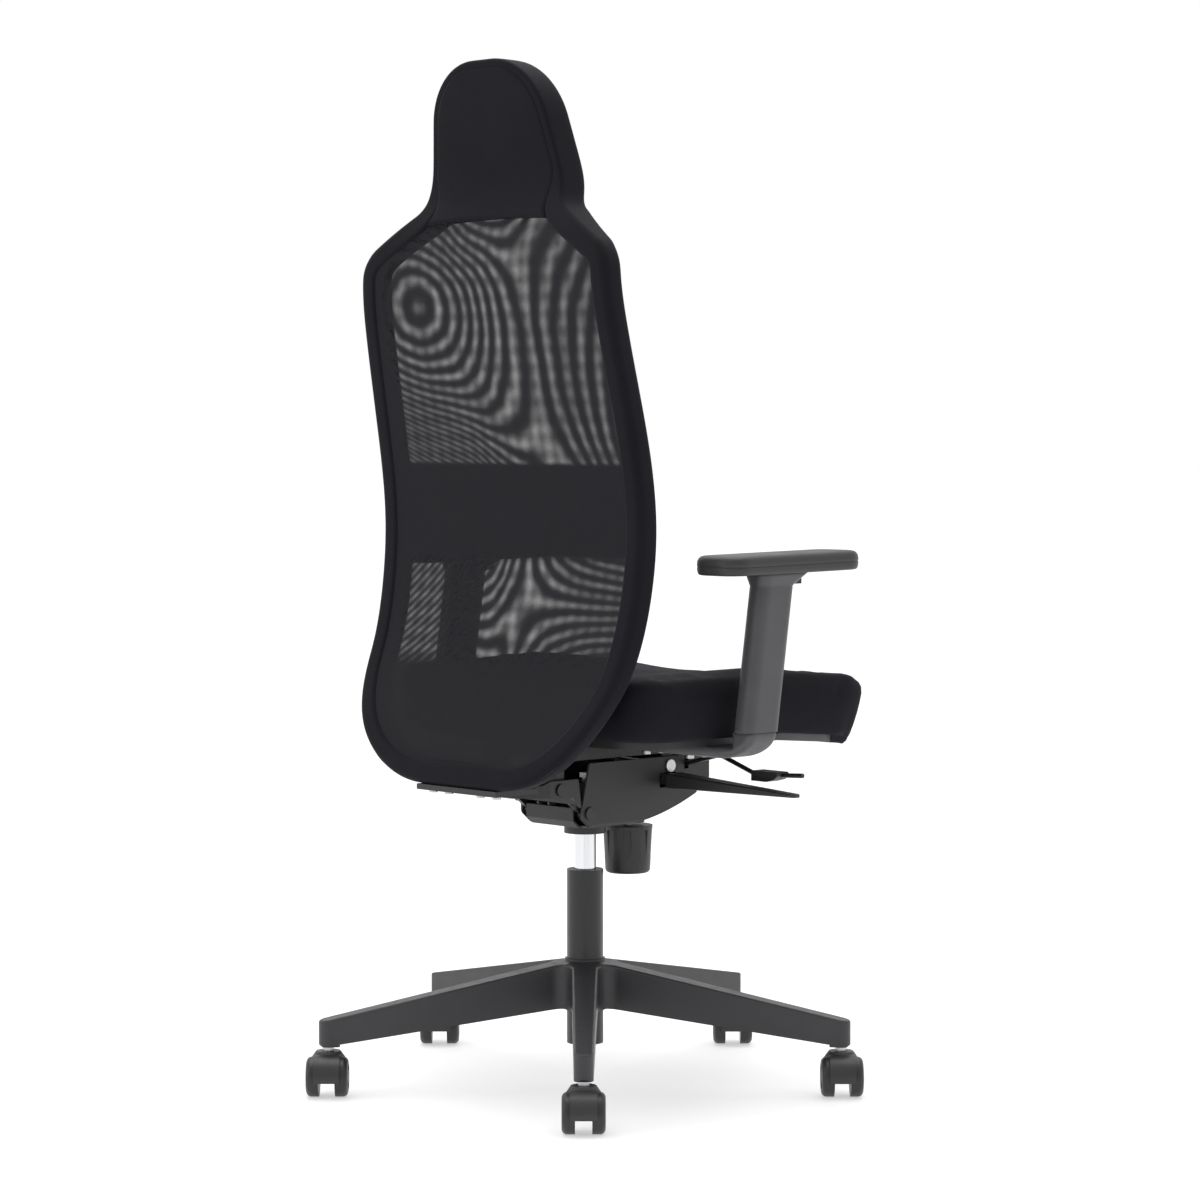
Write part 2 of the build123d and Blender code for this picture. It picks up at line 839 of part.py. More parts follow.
def plate_bolts(seat_z):
    """Bolts from the plate into the pan, with their heads under seat_z."""
    bolts = Part()
    for y in (plate_bolt_front, plate_bolt_rear):
        bolts += both_sides(bolt(plate_bolt_x, y, seat_z))
    return bolts


def bracket_bolts(seat_z):
    """Bolts from both arm brackets into the pan, with their heads under seat_z."""
    bolts = Part()
    spread = elbow_depth / 2 - 2 * bolt_head_radius
    for y in (arm_foot_y - spread, arm_foot_y + spread):
        for x in (bar_inner_x + 2 * bolt_head_radius, seat_half_width - 3 * pan_inset):
            bolts += both_sides(bolt(x, y, seat_z))
    return bolts


def bolt(x, y, seat_z):
    """Bolt that points up from seat_z into the pan."""
    shank = rod_z(bolt_radius, seat_z, pan_z + bolt_bite, x, y)
    return shank + rod_z(bolt_head_radius, seat_z - bolt_head, seat_z, x, y)


def foot_height(y):
    """Top of the pan, level behind and falling to the front."""
    return cushion_z - pan_fall * max(0.0, -y - pan_bend) / (pan_front - pan_bend)


def seat_pan():
    """Moulded pan under the cushion, bent down at the front."""
    y0, y1 = rest_gap - pan_front, seat_rear - pan_inset / 2
    half = seat_half_width - pan_inset
    front_top = foot_height(y0)
    side = (
        (y1, pan_z),
        (y1, cushion_z),
        (-pan_bend, cushion_z),
        (y0, front_top),
        (y0, front_top - pan_thickness),
        (-pan_bend, pan_z),
    )
    outline = Pos(0, (y0 + y1) / 2, 0) * RectangleRounded(2 * half, y1 - y0, pan_corner)
    pan = plate_yz(side, -half, half) & extrude(outline, 2 * cushion_z)
    return pan - plate_bolts(flange_z) - bracket_bolts(pan_z - bar_thickness)


def seat_section(y, half, low, edge, middle):
    """Cross-section of the cushion: flat foot, sides drawn in at the foot, dished top."""
    foot = half - cushion_lip
    belly = low + (edge - low) * cushion_belly
    rim = half - cushion_lip / 2
    lines = Curve() + [
        Line((-foot, low), (foot, low)),
        ThreePointArc((foot, low), (half, belly), (rim, edge)),
        ThreePointArc((rim, edge), (0, middle), (-rim, edge)),
        ThreePointArc((-rim, edge), (-half, belly), (-foot, low)),
    ]
    return Plane((0, y, 0), x_dir=(1, 0, 0), z_dir=(0, -1, 0)) * make_face(lines)


def front_section(y, low):
    """Sizes of a section in front of the pan's bend, where the top sinks and rolls over the nose."""
    reach = max(0.0, (-y - seat_front + cushion_nose) / cushion_nose)
    ease = 1 - sqrt(1 - reach * reach)
    sink = cushion_sink * (cushion_z - foot_height(y))
    edge = cushion_z + cushion_height - sink - cushion_front_fall * ease
    middle = edge - cushion_dish * (1 - cushion_level * ease)
    return y, seat_half_width - cushion_roll * ease, low, edge, middle


def seat_cushion():
    """Foam cushion: dished top, drawn-in sides, and ends that roll over towards the foot."""
    low, edge = cushion_z, cushion_z + cushion_height
    half = seat_half_width
    sections = []
    for share in range(cushion_steps + 1):
        turn = pi / 2 * share / cushion_steps
        ease = 1 - cos(turn)
        y = seat_rear - cushion_roll * (1 - sin(turn))
        drop = cushion_rear_fall * ease
        sections.append((y, half - cushion_roll * ease, low, edge - drop, edge - cushion_dish - drop / 2))
    sections.reverse()
    nose_start = seat_front - cushion_nose
    for y in (-pan_bend, -nose_start, rest_gap - pan_front):
        sections.append(front_section(y, foot_height(y)))
    lip_low = foot_height(-pan_front) - pan_thickness
    sections.append(front_section(-pan_front, lip_low))
    for share in range(cushion_steps):
        rise = sin(pi / 2 * share / (cushion_steps - 1))
        sections.append(front_section(-lip_front - lip_back * rise, lip_low + nose_rise * rise))
    return loft([seat_section(*values) for values in sections], ruled=True)


# Armrests


def post_place(height):
    """Centre of the arm post at a height above its foot, which leans to the front."""
    return arm_foot_y - arm_lean * height, arm_foot_z + height


def post_bar(thickness, depth, corner, low, high):
    """Leaning bar with rounded corners between two heights above the foot."""
    y, z = post_place(low)
    section = Pos(arm_x, y, z) * RectangleRounded(thickness, depth, corner)
    rise = high - low
    lean = Vector(0, -arm_lean, 1)
    return extrude(section, rise * lean.length, dir=lean.normalized())


def arm_bracket():
    """Bar under the seat, elbow and inner upright of the arm on the +X side."""
    outer = arm_x + post_thickness / 2
    inner = arm_x - post_thickness / 2
    low = pan_z - bar_thickness
    bend = outer - elbow_run
    outline = Curve() + [
        Line((bar_inner_x, pan_z), (bar_inner_x, low)),
        Line((bar_inner_x, low), (bend, low)),
        EllipticalCenterArc((bend, arm_foot_z), elbow_run, arm_foot_z - low, start_angle=-90, arc_size=90),
        Line((outer, arm_foot_z), (inner, arm_foot_z)),
        Line((inner, arm_foot_z), (inner, pan_z)),
        Line((inner, pan_z), (bar_inner_x, pan_z)),
    ]
    half = elbow_depth / 2
    elbow = Pos(0, arm_foot_y + half, 0) * extrude(Plane.XZ * make_face(outline), elbow_depth)
    rims = elbow.edges().filter_by(lambda e: abs(abs(e.center().Y - arm_foot_y) - half) < slide_gap)
    under = rims.filter_by(lambda e: e.center().Z < pan_z - slide_gap and e.center().X > bar_inner_x + half)
    elbow = fillet(under, elbow_edge)
    upright = post_bar(upright_thickness, upright_depth, upright_corner, 0, upright_height)
    return elbow + upright - bracket_bolts(low)


def pad_plane(shift):
    """Plane of the pad's underside, tipped up to the front, centred in front of the post by shift."""
    y, z = post_place(sleeve_height)
    tip = radians(pad_tip)
    return Plane((arm_x, y, z), x_dir=(1, 0, 0), z_dir=(0, sin(tip), cos(tip))) * Pos(0, -shift, 0)


def arm_sleeve():
    """Outer post of the arm on the +X side, with a flared neck under the pad."""
    low = slide_gap
    sleeve = post_bar(post_thickness, post_depth, post_corner, low, sleeve_height - flare_height / 2)
    y0, z0 = post_place(sleeve_height - flare_height)
    neck = loft(
        [
            Pos(arm_x, y0, z0) * RectangleRounded(post_thickness, post_depth, post_corner),
            pad_plane(flare_shift) * RectangleRounded(flare_thickness, flare_depth, post_corner),
        ]
    )
    sleeve += neck
    bore_depth = sleeve_height - sleeve_cap
    thick, deep = upright_thickness + 2 * slide_gap, upright_depth + 2 * slide_gap
    sleeve -= post_bar(thick, deep, upright_corner + slide_gap, 0, bore_depth)
    return sleeve - button_body(slide_gap, button_travel + rest_gap)


def button_body(grow, deeper):
    """Release button at the front of the neck, grown on its sides and deepened behind."""
    height = sleeve_height - button_drop
    y, z = post_place(height)
    share = 1 - button_drop / flare_height
    face = y - flare_shift * share - (post_depth + (flare_depth - post_depth) * share) / 2
    half = button_half_width + grow
    low, high = z - button_height / 2 - grow, z + button_height / 2 + grow
    return block(arm_x - half, arm_x + half, face - button_show, face + button_seat + deeper, low, high)


def arm_button():
    """Release button on the +X side."""
    return button_body(0, 0)


def arm_pad():
    """Soft pad on the flare, rounded along its top."""
    outline = pad_plane(pad_shift) * RectangleRounded(pad_width, pad_length, pad_corner)
    pad = extrude(outline, pad_thickness)
    pad = fillet(pad.faces().sort_by(Axis.Z)[-1].edges(), pad_edge)
    return fillet(pad.faces().sort_by(Axis.Z)[0].edges(), pad_edge / 2)


# Back


def carrier_outline():
    """Side outline of the carrier's walls."""
    front = main_pivot_y + pin_head_radius + 2 * housing_edge
    web_y = front + housing_edge
    return (
        (web_y, back_z + carrier_wall),
        (front, yoke_low() - housing_edge),
        (web_y + 2 * carrier_wall, link_z - pin_head_radius - link_clear),
        (carrier_rear, back_z - carrier_depth),
        (carrier_rear, back_z),
        (carrier_rear - carrier_shelf, back_z),
        (link_y + 2 * ear_radius, back_z + carrier_wall),
    )


def carrier_plan(half, rear):
    """Plan of the carrier as a prism, narrowing behind the link pin."""
    bend = link_y + 2 * ear_radius
    slim = half - carrier_taper
    plan = ((-half, 0), (half, 0), (half, bend), (slim, rear), (-slim, rear), (-half, bend))
    return plate_xy(plan, mech_z, 2 * back_z)


def back_carrier():
    """Channel behind the housing with the arms of the main pivot and the flange under the back."""
    half, inner = carrier_half_width, carrier_half_width - carrier_wall
    outline = carrier_outline()
    carrier = plate_yz(outline, -half, half) & carrier_plan(half, carrier_rear)
    room_rear = carrier_rear - carrier_wall
    floor_front, floor_top = carrier_rear - carrier_shelf, back_z - flange_thickness
    room = (
        (0, mech_z),
        (0, 2 * back_z),
        (room_rear, 2 * back_z),
        (room_rear, floor_top),
        (floor_front, floor_top),
        (floor_front, mech_z),
    )
    carrier -= plate_yz(room, -inner, inner) & carrier_plan(inner, room_rear)
    web_y, web_low = outline[0][0], yoke_low()
    web_top = web_low + carrier_web
    carrier += block(-half, half, web_y, web_y + carrier_wall, web_low, web_top)
    arm_outer = carrier_arm_inner + carrier_arm_thickness
    lobe = pivot_radius + carrier_arm_thickness
    arm = rod_x(lobe, carrier_arm_inner, arm_outer, main_pivot_y, main_pivot_z)
    reach = (
        (main_pivot_y, main_pivot_z + lobe),
        (main_pivot_y + lobe, main_pivot_z),
        (web_y + carrier_wall, web_low),
        (web_y + carrier_wall, web_top),
        (web_y, web_top),
    )
    arm += plate_yz(reach, carrier_arm_inner, arm_outer)
    carrier += both_sides(arm)
    carrier -= rod_x(pivot_radius + turn_gap, -half, half, main_pivot_y, main_pivot_z)
    carrier -= rod_x(link_radius, -half, half, link_y, link_z)
    flange_rear = back_foot_y + back_depth / 2
    low = back_z - flange_thickness
    carrier += block(-flange_half_width, flange_half_width, flange_front, flange_rear, low, back_z)
    return carrier - carrier_bolts()


def carrier_bolts():
    """Bolts from under the flange up into the bottom rail of the back frame."""
    bolts = Part()
    low = back_z - flange_thickness
    for x in back_bolt_x:
        shank = rod_z(bolt_radius, low, back_z + back_bolt_bite, x, back_foot_y)
        bolts += both_sides(shank + rod_z(bolt_head_radius, low - bolt_head, low, x, back_foot_y))
    return bolts


def back_outline(inset):
    """Outline of the back from behind, as a prism along Y, drawn in by inset."""
    half = (
        (foot_half_width, 0, foot_corner),
        (waist_half_width, waist_height, waist_corner),
        (shoulder_half_width, shoulder_height, shoulder_corner),
        (neck_half_width, neck_corner_height, neck_corner),
        (crown_half_width, back_height, crown_corner),
    )
    right = [(x, back_z + z) for x, z, _ in half]
    left = [(-x, z) for x, z in reversed(right)]
    radii = [r for _, _, r in half]
    outline = FilletPolyline(*right, *left, radius=radii + radii[::-1], close=True)
    face = make_face(outline)
    if inset:
        face = offset(face, -inset)
    return extrude(Plane.XZ * face, 2 * seat_front, both=True)


def back_slab(front, rear, head_in_front=0, head_behind=0, crown=0):
    """Curved slab that follows the side line of the back, between two depths, wide in X."""
    ahead, behind = [], []
    for height, y in back_line:
        head = max(0.0, min(1.0, (height - shoulder_height) / (neck_height - shoulder_height)))
        swell = crown if height == back_line[-2][0] else 0
        ahead.append((y + front - head * head_in_front - swell, back_z + height))
        behind.append((y + rear + head * head_behind, back_z + height))
    lines = Curve() + [
        Spline(*ahead),
        Line(ahead[-1], behind[-1]),
        Spline(*reversed(behind)),
        Line(behind[0], ahead[0]),
    ]
    return extrude(Plane.YZ * make_face(lines), 2 * seat_half_width, both=True)


def back_body():
    """Curved slab of the whole back, thicker at the head."""
    half = back_depth / 2
    return back_slab(-half, half, head_front - half, head_rear - half)


def back_frame():
    """Hoop inside the border."""
    hoop = back_outline(frame_inset) - back_outline(frame_inset + frame_width)
    return (hoop & back_slab(-frame_depth / 2, frame_depth / 2)) - carrier_bolts()


def back_border_sleeve(frame):
    """Knitted sleeve over the hoop, round the whole back."""
    ring = back_outline(0) - back_outline(back_border)
    return (ring & back_body()) - frame - carrier_bolts()


def window(low, high):
    """The part of the back inside its border between two heights above the foot."""
    half = seat_half_width
    band = block(-half, half, -seat_front, 2 * seat_front, back_z + low, back_z + high)
    return back_outline(back_border) & band


def front_mesh():
    """Front layer of the mesh."""
    half = back_depth / 2
    layer = back_slab(-half, mesh_thickness - half, head_front - half, half - head_front)
    return window(0, neck_height) & layer


def rear_mesh():
    """Rear layer of the mesh."""
    half = back_depth / 2
    layer = back_slab(half - mesh_thickness, half, half - head_rear, head_rear - half)
    return window(0, neck_height) & layer


def lumbar_band():
    """Band between the two layers of mesh at the small of the back."""
    return window(lumbar_low, lumbar_high) & back_slab(-lumbar_depth / 2, lumbar_depth / 2)


def headrest_pad():
    """Padded panel in the head of the border, crowned to the front."""
    half = back_depth / 2
    pad = back_slab(-half, half, head_front - half, head_rear - half, head_crown)
    return window(neck_height, back_height) & pad


def add_arm(nodes, name, solid):
    """Add an arm piece on both sides of the chair."""
    nodes[name + "_left"] = solid
    nodes[name + "_right"] = mirror(solid, Plane.YZ)


def build():
    """All the pieces by name."""
    stems = [at_caster(index, caster_stem()).solid() for index in range(arm_count)]
    frame = back_frame()
    nodes = {
        "star_base": star_base(),
        "caster_stems": Compound(stems),
        "column_tube": column_tube(),
        "guide_bush": guide_bush(),
        "thrust_bearing": thrust_bearing(),
        "piston_rod": piston_rod(),
        "gas_cylinder": gas_cylinder(),
        "valve_pin": valve_pin(),
        "mech_housing": mech_housing(),
        "main_pivot_pin": headed_pin(pivot_radius, housing_half_width, main_pivot_y, main_pivot_z),
        "front_pivot_pin": headed_pin(pivot_radius, housing_half_width, front_pivot_y, front_pivot_z),
        "tension_spring": tension_spring(),
        "tension_yoke": tension_yoke(),
        "tension_spindle": tension_spindle(),
        "tension_knob": tension_knob(),
        "lever_shaft": lever_shaft(),
        "height_lever": height_lever(),
        "lock_lever": lock_lever(),
        "lock_paddle": lock_paddle(),
        "seat_plate": seat_plate(),
        "seat_pan": seat_pan(),
        "seat_cushion": seat_cushion(),
        "seat_bolts": plate_bolts(flange_z) + bracket_bolts(pan_z - bar_thickness),
        "back_carrier": back_carrier(),
        "link_pin": headed_pin(link_radius, carrier_half_width, link_y, link_z),
        "carrier_bolts": carrier_bolts(),
        "back_frame": frame,
        "back_border": back_border_sleeve(frame),
        "front_mesh": front_mesh(),
        "rear_mesh": rear_mesh(),
        "lumbar_band": lumbar_band(),
        "headrest_pad": headrest_pad(),
    }
    add_arm(nodes, "arm_bracket", arm_bracket())
    add_arm(nodes, "arm_sleeve", arm_sleeve())
    add_arm(nodes, "arm_button", arm_button())
    add_arm(nodes, "arm_pad", arm_pad())
    for index in range(arm_count):
        name = f"caster_{index + 1}"
        nodes[name + "_hood"] = at_caster(index, caster_hood())
        nodes[name + "_axle"] = at_caster(index, caster_axle())
        nodes[name + "_wheel_left"] = at_caster(index, caster_wheel(1))
        nodes[name + "_wheel_right"] = at_caster(index, caster_wheel(-1))
    return nodes


os.makedirs("parts", exist_ok=True)
for node, shape in build().items():
    export_step(shape, f"parts/{node}.step")
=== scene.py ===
import json
import math

import bmesh
import bpy
import numpy as np
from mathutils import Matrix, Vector


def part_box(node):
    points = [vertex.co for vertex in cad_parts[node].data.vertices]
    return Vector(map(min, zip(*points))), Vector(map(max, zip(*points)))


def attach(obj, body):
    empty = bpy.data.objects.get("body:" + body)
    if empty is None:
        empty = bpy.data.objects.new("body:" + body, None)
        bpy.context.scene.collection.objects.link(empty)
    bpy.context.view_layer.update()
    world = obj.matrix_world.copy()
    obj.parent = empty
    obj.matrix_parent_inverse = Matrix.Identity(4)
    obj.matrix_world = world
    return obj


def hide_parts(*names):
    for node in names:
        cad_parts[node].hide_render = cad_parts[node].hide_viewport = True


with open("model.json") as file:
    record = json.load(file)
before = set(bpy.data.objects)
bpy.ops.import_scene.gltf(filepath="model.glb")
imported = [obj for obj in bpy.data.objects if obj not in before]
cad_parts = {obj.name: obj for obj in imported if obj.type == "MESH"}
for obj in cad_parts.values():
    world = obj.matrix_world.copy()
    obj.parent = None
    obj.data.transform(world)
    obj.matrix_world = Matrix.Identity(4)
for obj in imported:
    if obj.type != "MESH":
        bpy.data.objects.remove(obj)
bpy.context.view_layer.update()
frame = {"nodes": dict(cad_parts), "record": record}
nodes = frame["nodes"]

# Sizes are in metres. The chair faces -Y, and -X is the sitter's right.
MM = 0.001
WELD = 1e-6

# Back: side line in millimetres, as height above the foot and distance behind the column
BACK_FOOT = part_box("back_border")[0].z
BACK_LINE = (
    (-15, 208),
    (67, 190),
    (157, 149),
    (247, 125),
    (322, 119),
    (457, 136),
    (567, 158),
    (652, 166),
    (697, 156),
    (737, 138),
    (787, 139),
    (910, 161),
)
# Half outline of the back from behind in millimetres: half width, height above the foot, corner radius
BACK_OUTLINE = (
    (229, 0, 167),
    (248, 337, 2500),
    (229, 663, 50),
    (129, 723, 30),
    (91, 903.5, 90),
)
BACK_HALF_DEPTH = 15 * MM
HEAD_START = 664 * MM
NECK_HEIGHT = 712 * MM
OUTLINE_STEP = 2 * MM
SMALLEST_CORNER = 2 * MM

# Border: width, corner radii of its section and crown of its faces
BORDER = 30 * MM
BORDER_OUTER = 11 * MM
BORDER_INNER = 7 * MM
BORDER_CROWN = 1.5 * MM
BORDER_STEP = 4.5 * MM
CORNER_POINTS = 7

# Mesh layers: tuck under the border, set back from its faces, bowed in at the middle
TUCK = 4 * MM
MESH_SET_BACK = 1.2 * MM
MESH_BOW = 2.5 * MM
MESH_ROWS = 150
MESH_COLUMNS = 90

# Lumbar band: the powers square off its section
LUMBAR_LOW = 288 * MM
LUMBAR_HIGH = 400 * MM
LUMBAR_HALF = 4 * MM
LUMBAR_POINTS = 30
LUMBAR_COLUMNS = 60
LUMBAR_FLAT = 0.35
LUMBAR_ROLL = 0.8

# Head panel: depths before and behind the side line, seam, crowns, and how far in each is reached
HEAD_FRONT = 26 * MM
HEAD_REAR = 19 * MM
HEAD_EDGE = 5 * MM
HEAD_SEAM = 9 * MM
HEAD_TOP_GAP = 0.2 * MM
HEAD_ROWS = 60
HEAD_COLUMNS = 56
PANEL_FOOT = 707 * MM
PANEL_SAG = 4 * MM
PANEL_EASE = 60 * MM
FRONT_SIDE = 19 * MM
FRONT_ROLL = 14 * MM
FRONT_CROWN = 12 * MM
FRONT_REACH = 80 * MM
FOOT_STEEPNESS = 1.4
REAR_SEAM_DEPTH = 5 * MM
REAR_SEAM_RISE = 5.4 * MM
REAR_CROWN = 2 * MM
REAR_REACH = 60 * MM
HEAD_HELD = 8 * MM
HEAD_PRESSURE = 1.5
HEAD_SWELL = 4 * MM

# Cloth that swells the padded pieces
CLOTH_FRAMES = 16
CLOTH_QUALITY = 4
CLOTH_MASS = 0.3
CLOTH_STIFFNESS = 12
CLOTH_BENDING = 2.0
NO_MOVE = 1e-9


# Mesh helpers


def new_mesh(name, verts, faces, smooth=True):
    """Object from vertices and faces, with its normals made outward."""
    mesh = bpy.data.meshes.new(name)
    mesh.from_pydata([tuple(v) for v in verts], [], faces)
    mesh.update()
    shape = bmesh.new()
    shape.from_mesh(mesh)
    bmesh.ops.remove_doubles(shape, verts=shape.verts, dist=WELD)
    bmesh.ops.recalc_face_normals(shape, faces=shape.faces)
    shape.to_mesh(mesh)
    shape.free()
    for face in mesh.polygons:
        face.use_smooth = smooth
    piece = bpy.data.objects.new(name, mesh)
    bpy.context.scene.collection.objects.link(piece)
    return piece


def grid_faces(rows, columns, wrap_rows=False, wrap_columns=False):
    """Quads over a grid of vertices stored row by row."""
    faces = []
    for row in range(rows if wrap_rows else rows - 1):
        below = (row + 1) % rows
        for column in range(columns if wrap_columns else columns - 1):
            right = (column + 1) % columns
            faces.append(
                (
                    row * columns + column,
                    row * columns + right,
                    below * columns + right,
                    below * columns + column,
                )
            )
    return faces


def smooth_step(value, low, high):
    """0 below low, 1 above high, and an even ease between them."""
    t = np.clip((np.asarray(value, float) - low) / (high - low), 0, 1)
    return t * t * (3 - 2 * t)


def arch(distance, reach):
    """Quarter-circle rise from 0 at an edge to 1 at a distance from it."""
    return np.sqrt(np.clip(1 - (1 - np.clip(np.asarray(distance) / reach, 0, 1)) ** 2, 0, 1))


def apply_modifiers(piece):
    """Replace the piece's mesh by what its modifiers make of it."""
    bpy.context.view_layer.update()
    graph = bpy.context.evaluated_depsgraph_get()
    done = bpy.data.meshes.new_from_object(piece.evaluated_get(graph))
    piece.modifiers.clear()
    piece.data = done
    for face in piece.data.polygons:
        face.use_smooth = True


def subdivide(piece):
    """Smooth the piece with one level of subdivision surface, applied."""
    step = piece.modifiers.new("Subdivision", "SUBSURF")
    step.levels = 1
    step.render_levels = 1
    apply_modifiers(piece)


def loft(name, verts, rows, count):
    """Closed piece over rows of loops of count vertices each, capped at both ends."""
    faces = grid_faces(rows, count, False, True)
    faces.append(tuple(range(count)))
    faces.append(tuple(range((rows - 1) * count, rows * count)))
    return new_mesh(name, verts, faces)


def points_of(piece):
    """Vertices of a piece as an array."""
    flat = np.zeros(len(piece.data.vertices) * 3)
    piece.data.vertices.foreach_get("co", flat)
    return flat.reshape(-1, 3)


def set_points(piece, points):
    """Move the vertices of a piece."""
    piece.data.vertices.foreach_set("co", np.ascontiguousarray(points, float).ravel())
    piece.data.update()


def inflate(piece, held, pressure, cap):
    """Swell a padded piece with cloth: held vertices stay, others move by the cap at most."""
    before = points_of(piece)
    group = piece.vertex_groups.new(name="held")
    group.add([int(i) for i in np.nonzero(held)[0]], 1.0, "REPLACE")
    cloth = piece.modifiers.new("Cloth", "CLOTH")
    cloth.settings.quality = CLOTH_QUALITY
    cloth.settings.mass = CLOTH_MASS
    cloth.settings.tension_stiffness = CLOTH_STIFFNESS
    cloth.settings.compression_stiffness = CLOTH_STIFFNESS
    cloth.settings.bending_stiffness = CLOTH_BENDING
    cloth.settings.use_pressure = True
    cloth.settings.uniform_pressure_force = pressure
    cloth.settings.vertex_group_mass = "held"
    cloth.settings.effector_weights.gravity = 0
    cloth.collision_settings.use_collision = False
    scene = bpy.context.scene
    cloth.point_cache.frame_start = 1
    cloth.point_cache.frame_end = CLOTH_FRAMES
    for step in range(1, CLOTH_FRAMES + 1):
        scene.frame_set(step)
    apply_modifiers(piece)
    scene.frame_set(1)
    move = points_of(piece) - before
    length = np.linalg.norm(move, axis=1)
    eased = cap * np.tanh(length / cap) / np.maximum(length, NO_MOVE)
    share = np.where(length > NO_MOVE, eased, 0)
    set_points(piece, before + move * share[:, None])


# Back: side line and outline


def side_spline():
    """Distance behind the column at a height above the foot, as a natural cubic spline."""
    heights = np.array([p[0] for p in BACK_LINE]) * MM
    places = np.array([p[1] for p in BACK_LINE]) * MM
    count = len(heights)
    gaps = np.diff(heights)
    system, target = np.eye(count), np.zeros(count)
    for i in range(1, count - 1):
        system[i, i - 1 : i + 2] = gaps[i - 1], 2 * (gaps[i - 1] + gaps[i]), gaps[i]
        rise = (places[i + 1] - places[i]) / gaps[i]
        target[i] = 6 * (rise - (places[i] - places[i - 1]) / gaps[i - 1])
    bend = np.linalg.solve(system, target)

    def line(height):
        height = np.asarray(height, float)
        i = np.clip(np.searchsorted(heights, height) - 1, 0, count - 2)
        gap, left, right = gaps[i], heights[i + 1] - height, height - heights[i]
        curve = (bend[i] * left**3 + bend[i + 1] * right**3) / (6 * gap)
        start = (places[i] / gap - bend[i] * gap / 6) * left
        return curve + start + (places[i + 1] / gap - bend[i + 1] * gap / 6) * right

    return line


back_line = side_spline()


def head_share(height):
    """0 on the back proper, 1 on the head."""
    return np.clip((np.asarray(height, float) - HEAD_START) / (NECK_HEIGHT - HEAD_START), 0, 1)


def front_depth(height):
    """How far the front face lies before the side line."""
    return BACK_HALF_DEPTH + head_share(height) * (HEAD_FRONT - BACK_HALF_DEPTH)


def rear_depth(height):
    """How far the rear face lies behind the side line."""
    return BACK_HALF_DEPTH + head_share(height) * (HEAD_REAR - BACK_HALF_DEPTH)


def rounded_outline(corners, step):
    """Points of a closed outline through corners (x, z, radius), rounded by their radii."""
    count = len(corners)
    points = []
    for i, (x, z, radius) in enumerate(corners):
        here = Vector((x, z))
        before = (Vector(corners[i - 1][:2]) - here).normalized()
        after = (Vector(corners[(i + 1) % count][:2]) - here).normalized()
        half = before.angle(after) / 2
        reach = radius / math.tan(half)
        start, end = here + before * reach, here + after * reach
        centre = here + (before + after).normalized() * (radius / math.sin(half))
        first = math.atan2(start.y - centre.y, start.x - centre.x)
        sweep = math.atan2(end.y - centre.y, end.x - centre.x) - first
        sweep = (sweep + math.pi) % (2 * math.pi) - math.pi
        pieces = max(2, int(abs(sweep) * radius / step))
        for k in range(pieces + 1):
            turn = first + sweep * k / pieces
            points.append((centre.x + radius * math.cos(turn), centre.y + radius * math.sin(turn)))
    return np.array(points)


def rectangle(half, front, rear, corner):
    """Points of a rounded rectangle, half to each side, from front to rear."""
    corner = max(corner, SMALLEST_CORNER)
    right = ((half, front, corner), (half, rear, corner))
    left = tuple((-x, y, radius) for x, y, radius in reversed(right))
    return rounded_outline(right + left, OUTLINE_STEP)


def along_loop(points):
    """A loop closed by its first point, and the length along it at each point."""
    closed = np.vstack([points, points[:1]])
    steps = np.linalg.norm(np.diff(closed, axis=0), axis=1)
    return closed, np.concatenate([[0], np.cumsum(steps)])


def spaced(points, count):
    """Evenly spaced points on a closed loop."""
    closed, length = along_loop(points)
    where = np.linspace(0, length[-1], count, endpoint=False)
    return np.stack([np.interp(where, length, closed[:, k]) for k in range(2)], axis=1)


def even_loop(points, step):
    """The same closed loop with evenly spaced points, and its inward normals."""
    even = spaced(points, int(along_loop(points)[1][-1] / step))
    along = np.roll(even, -1, axis=0) - np.roll(even, 1, axis=0)
    along /= np.linalg.norm(along, axis=1)[:, None]
    normal = np.stack([-along[:, 1], along[:, 0]], axis=1)
    return even, normal


def back_loop(step):
    """Outline of the back from behind, counter-clockwise, with inward normals."""
    right = [(x * MM, z * MM, r * MM) for x, z, r in BACK_OUTLINE]
    left = [(-x, z, r) for x, z, r in reversed(right)]
    return even_loop(rounded_outline(right + left, step), step)


def back_half_width(height, inset):
    """Half width of the back at a height, drawn in by an inset."""
    loop, normal = back_loop(OUTLINE_STEP)
    drawn = loop + normal * inset
    side = drawn[drawn[:, 0] > 0]
    order = np.argsort(side[:, 1])
    return np.interp(height, side[order, 1], side[order, 0])


def border_section(head):
    """Crown of the border, and its section as inset, corner radius and share of that radius to the rear."""
    rear = BORDER_OUTER + head * (HEAD_EDGE - BORDER_OUTER)
    inner = BORDER - BORDER_INNER
    corners = (
        (BORDER_OUTER, BORDER_OUTER, 180),
        (inner, BORDER_INNER, 270),
        (inner, BORDER_INNER, 0),
        (rear, rear, 90),
    )
    points = []
    for centre, radius, first in corners:
        for k in range(CORNER_POINTS):
            turn = math.radians(first + 90 * k / (CORNER_POINTS - 1))
            points.append((centre + radius * math.cos(turn), radius, math.sin(turn)))
    return BORDER_CROWN * (1 - head), points


